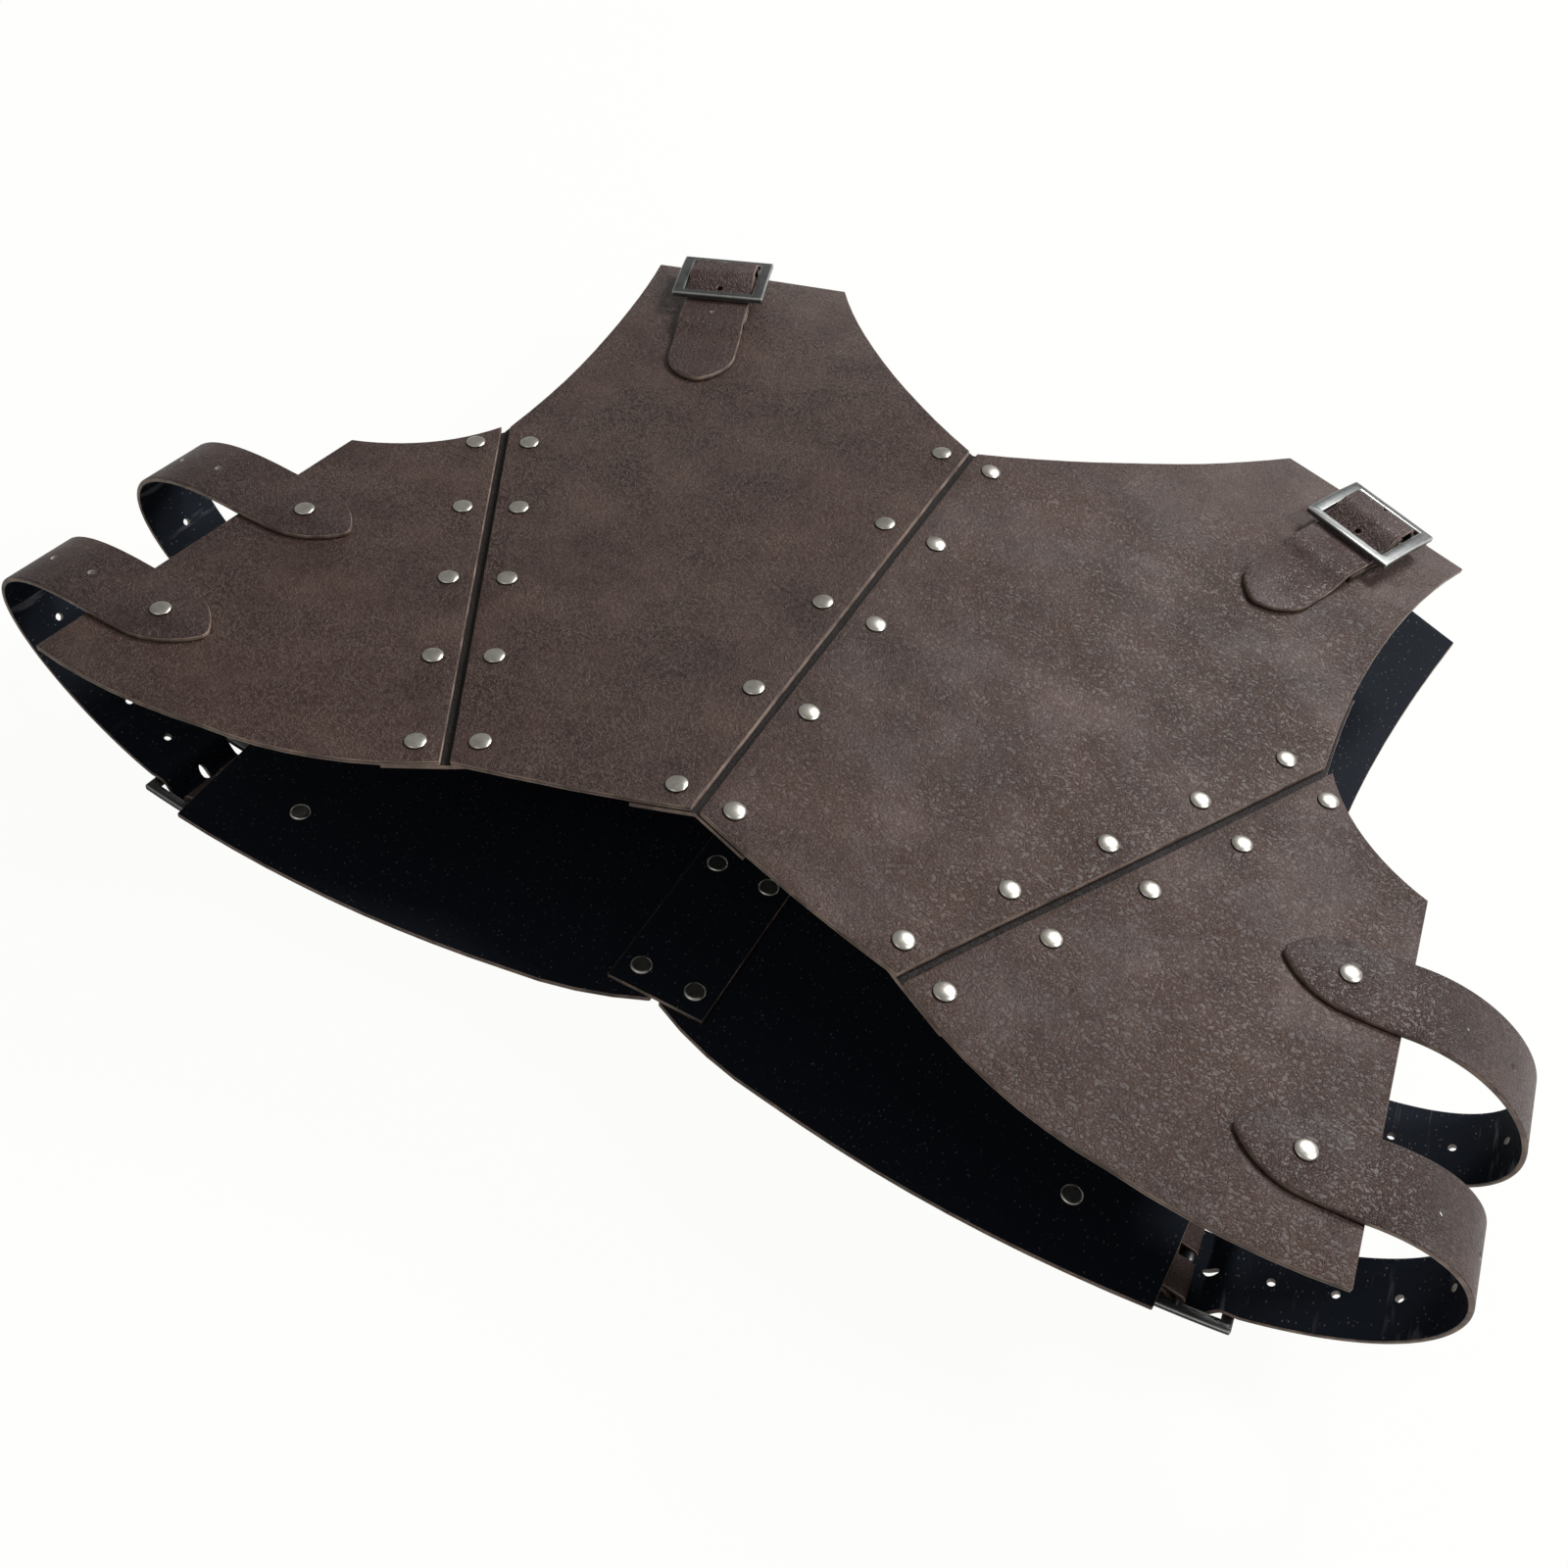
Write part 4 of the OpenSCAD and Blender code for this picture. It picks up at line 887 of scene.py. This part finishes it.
def strap(name, run, width, slot_at, node):
    pitch = HOLE_PITCH * MM
    first = (RIVET_IN + EDGE_RUN + HOLE_MARGIN) * MM
    places = [slot_at + k * pitch for k in range(-HOLES_BEFORE, HOLES_AFTER + 1)
              if k and first < slot_at + k * pitch < run.length - HOLE_MARGIN * MM]
    made = cut_out(name, strap_outline(run.length / MM, width), STRAP_T)
    for material in (STRAP_GRAIN, STRAP_LINING, EDGE, FIBRE):
        made.data.materials.append(material)
    round_edges(made, STRAP_ROUND, 4)
    cut_across(made, [(s, 0, 0) for s in run.lengths[1:-1]], (1, 0, 0))
    cutter = punches(places, slot_at)
    modify(made, "BOOLEAN", object=cutter, operation="DIFFERENCE", solver="EXACT")
    bpy.data.objects.remove(cutter)
    for face in made.data.polygons:
        x, y = face.center.x, face.center.y
        level = face.normal.z
        if abs(level) > FLAT:
            face.material_index = 0 if level > 0 else 1
        elif abs(y) < BORE_HALF * MM and any(abs(x - s) < BORE_REACH * MM for s in places + [slot_at]):
            face.material_index = 3
        else:
            face.material_index = 2
    flat = made.data.uv_layers.new(name="flat")
    flat.active_render = True
    for loop in made.data.loops:
        co = made.data.vertices[loop.vertex_index].co
        flat.data[loop.index].uv = (co.x, co.y)
    fold = made.data.attributes.new("fold", "FLOAT", "POINT")
    for i, v in enumerate(made.data.vertices):
        fold.data[i].value = run.fold(v.co.x)
    for v in made.data.vertices:
        v.co = run.lay(v.co)
    soften(made, 45)
    settle(made, "armour", "strap_leather", node)


def slot_place(run, buckle):
    """Length along the strap at which the prong goes through"""
    target = point(buckle, -SLOT_X, 0, threaded_z(-SLOT_X))
    i = min(range(len(run.points)), key=lambda n: (run.points[n] - target).length)
    return run.lengths[i]


def straps():
    for side in SIDES:
        for k in BUCKLE_FRAMES:
            line = shoulder_line() if k == "shoulder" else side_line(side, k)
            run = Run(on_left(line) if side == "left" else line)
            slot_at = slot_place(run, on_side(side, BUCKLE_FRAMES[k]))
            width = SHOULDER_STRAP_W if k == "shoulder" else STRAP_W
            strap(f"{side}_{k}_strap_leather", run, width, slot_at, f"{side}_{k}_strap")


# Buckles: an arched frame with a bar across, and a flat tongue looped round the bar
def buckle_model(strap_w):
    deselect()
    window_w = strap_w + 2 * SIDE_PLAY
    rail = (FRAME_W - window_w) / 2
    bpy.ops.mesh.primitive_plane_add(size=1)
    made = active()
    made.name = "buckle_model"
    made.scale = (FRAME_L * MM, FRAME_W * MM, 1)
    bpy.ops.object.transform_apply(scale=True)
    edit(made)
    bpy.ops.mesh.inset(thickness=rail * MM)
    window = (FRAME_L - 2 * BAR_W) / (FRAME_L - 2 * rail)
    bpy.ops.transform.resize(value=(window, 1, 1), center_override=(0, 0, 0))
    bpy.ops.mesh.delete(type="FACE")
    leave()
    cut_across(made, [(i / FRAME_STEPS * FRAME_L / 2 * MM, 0, 0)
                      for i in range(1 - FRAME_STEPS, FRAME_STEPS)], (1, 0, 0))
    modify(made, "SOLIDIFY", thickness=FRAME_T * MM, offset=0)
    made.data.materials.append(PEWTER)
    made.data.materials.append(WORN_PEWTER)
    round_edges(made, FRAME_ROUND, 2, 1)
    for v in made.data.vertices:
        v.co.z += FRAME_ARCH * MM * (1 - (v.co.x / (FRAME_L / 2 * MM)) ** 2)
    deselect()
    bpy.ops.mesh.primitive_cylinder_add(vertices=BAR_VERTICES, radius=BAR_R * MM,
                                        depth=(window_w + rail) * MM, rotation=(math.pi / 2, 0, 0))
    bar = active()
    bpy.ops.object.transform_apply(rotation=True)
    bar.data.materials.append(PEWTER)
    made = join([made, bar], "buckle_model")
    soften(made, 40)
    return made


def prong_model():
    """A flat strip bent round the bar and drawn out to a point over the frame's end bar"""
    deselect()
    inner = BAR_R + PRONG_PLAY
    bpy.ops.mesh.primitive_plane_add(size=1, rotation=(0, math.pi / 2, 0),
                                     location=(0, 0, (inner + PRONG_T / 2) * MM))
    made = active()
    made.name = "prong_model"
    made.scale = (PRONG_T * MM, PRONG_W * MM, 1)
    bpy.ops.object.transform_apply(location=True, rotation=True, scale=True)
    edit(made)
    bpy.ops.mesh.spin(steps=PRONG_STEPS, angle=math.radians(PRONG_TURN), center=(0, 0, 0), axis=(0, 1, 0))
    bpy.ops.mesh.select_all(action="DESELECT")
    # The strip's end over the bar is drawn out to the tip
    shape = bmesh.from_edit_mesh(made.data)
    for face in shape.faces:
        face.select = all(abs(v.co.x) < TOUCH * MM and v.co.z > 0 for v in face.verts)
    bmesh.update_edit_mesh(made.data)
    lift = FRAME_T / 2 + PRONG_LIFT - inner
    reach = FRAME_L / 2 + PRONG_PAST
    # Steps along, which add up to the reach, steps up, and widths against the step before
    for dx, dz, wide in ((-3, lift, 1), (-4, 0, 1), (-2, 0, TIP_W / PRONG_W), (-reach + 11.5, 0, 1),
                         (-1.7, -0.1, 0.86), (-0.8, -0.1, 0.6)):
        bpy.ops.mesh.extrude_region_move(TRANSFORM_OT_translate={"value": (dx * MM, 0, dz * MM)})
        bpy.ops.transform.resize(value=(1, wide, 1), center_override=(0, 0, 0))
    bpy.ops.mesh.select_all(action="SELECT")
    bpy.ops.mesh.remove_doubles(threshold=TOUCH * MM)
    bpy.ops.mesh.normals_make_consistent(inside=False)
    leave()
    round_edges(made, THIN_ROUND, 3)
    made.data.materials.append(PEWTER)
    soften(made, 40)
    return made


def buckles():
    narrow, wide, tongue = buckle_model(SHOULDER_STRAP_W), buckle_model(STRAP_W), prong_model()
    for side in SIDES:
        for k, m in BUCKLE_FRAMES.items():
            placed = on_side(side, m)
            for model, part in ((narrow if k == "shoulder" else wide, "buckle"), (tongue, "prong")):
                node = f"{side}_{k}_{part}"
                made = copied(model, placed)
                made.name = node + "_metal"
                settle(made, node, "pewter", node)
    for model in (narrow, wide, tongue):
        bpy.data.objects.remove(model)


def chapes():
    for side in SIDES:
        for k in BUCKLE_FRAMES:
            node = f"{side}_{k}_chape"
            made = cad_copy(node, node + "_leather")
            edit(made)
            bpy.ops.mesh.dissolve_limited(angle_limit=math.radians(0.6))
            leave()
            made.data.materials.append(CHAPE_GRAIN)
            made.data.materials.append(EDGE)
            round_edges(made, THIN_ROUND, 2, 1)
            soften(made)
            settle(made, "armour", "chape_leather", node)


# Camera as the photograph was taken, from a solved pose
IMAGE = 1600
FOCAL_PX = 1843.3
SENSOR = 36
CAMERA_PLACE = (0.19294, -0.53755, 0.65493)
CAMERA_RIGHT = (0.881884, 0.467334, 0.062289)
CAMERA_BACK = (0.249230, -0.574250, 0.779821)


def camera():
    data = bpy.data.cameras.new("camera")
    data.sensor_width = SENSOR
    data.lens = FOCAL_PX / IMAGE * SENSOR
    data.clip_start, data.clip_end = 0.01, 100
    made = bpy.data.objects.new("camera", data)
    bpy.context.collection.objects.link(made)
    right = Vector(CAMERA_RIGHT).normalized()
    back = Vector(CAMERA_BACK).normalized()
    up = back.cross(right).normalized()
    m = Matrix((right, up, back)).transposed().to_4x4()
    m.translation = CAMERA_PLACE
    made.matrix_world = m
    bpy.context.scene.camera = made


def lamp(name, place, target, size, power):
    data = bpy.data.lights.new(name, "AREA")
    data.shape = "RECTANGLE"
    data.size, data.size_y = size
    data.energy = power
    made = bpy.data.objects.new(name, data)
    bpy.context.collection.objects.link(made)
    made.location = place
    made.rotation_mode = "QUATERNION"
    made.rotation_quaternion = (Vector(place) - Vector(target)).to_track_quat("Z", "Y")


# White surroundings: how far the paper shines for the camera, and the sky's strength in
# reflections and as light
PAPER_GLOW = 0.965
SKY_MIRRORED = 0.3
SKY_LIGHT = 0.2
FLOOR_SIZE = 12
FLOOR_DROP = 0.3


def studio():
    """White paper and sky, the main lamp behind on the right, a small one high at the right and a
    weak broad one in front at the left. Paper and sky look brighter to the camera than to the part."""
    deselect()
    bpy.ops.mesh.primitive_plane_add(size=FLOOR_SIZE, location=(0, 0, -FLOOR_DROP * MM))
    floor = active()
    floor.name = "floor"
    made = new_material("white_paper_sweep")
    t = made.node_tree
    ray = add(t, "ShaderNodeLightPath")
    paper = add(t, "ShaderNodeBsdfDiffuse", {"Color": linear("#efefed")})
    seen = add(t, "ShaderNodeEmission", {"Color": linear("#fffffd"), "Strength": 1.0})
    straight = math_of(t, "MULTIPLY", ray.outputs["Is Camera Ray"], PAPER_GLOW)
    mixed = add(t, "ShaderNodeMixShader", {0: straight, 1: paper.outputs[0], 2: seen.outputs[0]})
    finish_material(made, mixed)
    floor.data.materials.append(made)
    world = bpy.data.worlds.new("studio")
    bpy.context.scene.world = world
    world.use_nodes = True
    w = world.node_tree
    w.nodes.clear()
    path = add(w, "ShaderNodeLightPath")
    mirror = math_of(w, "MULTIPLY", path.outputs["Is Glossy Ray"], SKY_MIRRORED)
    lit = math_of(w, "MAXIMUM", math_of(w, "MAXIMUM", path.outputs["Is Camera Ray"], mirror), SKY_LIGHT)
    sky = add(w, "ShaderNodeBackground", {"Color": linear("#fffffd"), "Strength": lit})
    add(w, "ShaderNodeOutputWorld", {"Surface": sky.outputs[0]})
    lamp("back_lamp", (0.6, 1.7, 1.65), (0.1, 0.05, 0.08), (0.6, 0.5), 43)
    lamp("front_lamp", (-0.6, -1.6, 1.9), (0, 0, 0.05), (1.2, 1.2), 4.5)
    lamp("top_lamp", (1.5, 0.5, 1.6), (0.1, 0, 0.08), (0.3, 0.3), 24)


def main():
    camera()
    panels()
    strips()
    rivets()
    straps()
    buckles()
    chapes()
    studio()
    bpy.context.scene.view_settings.view_transform = "Standard"


main()
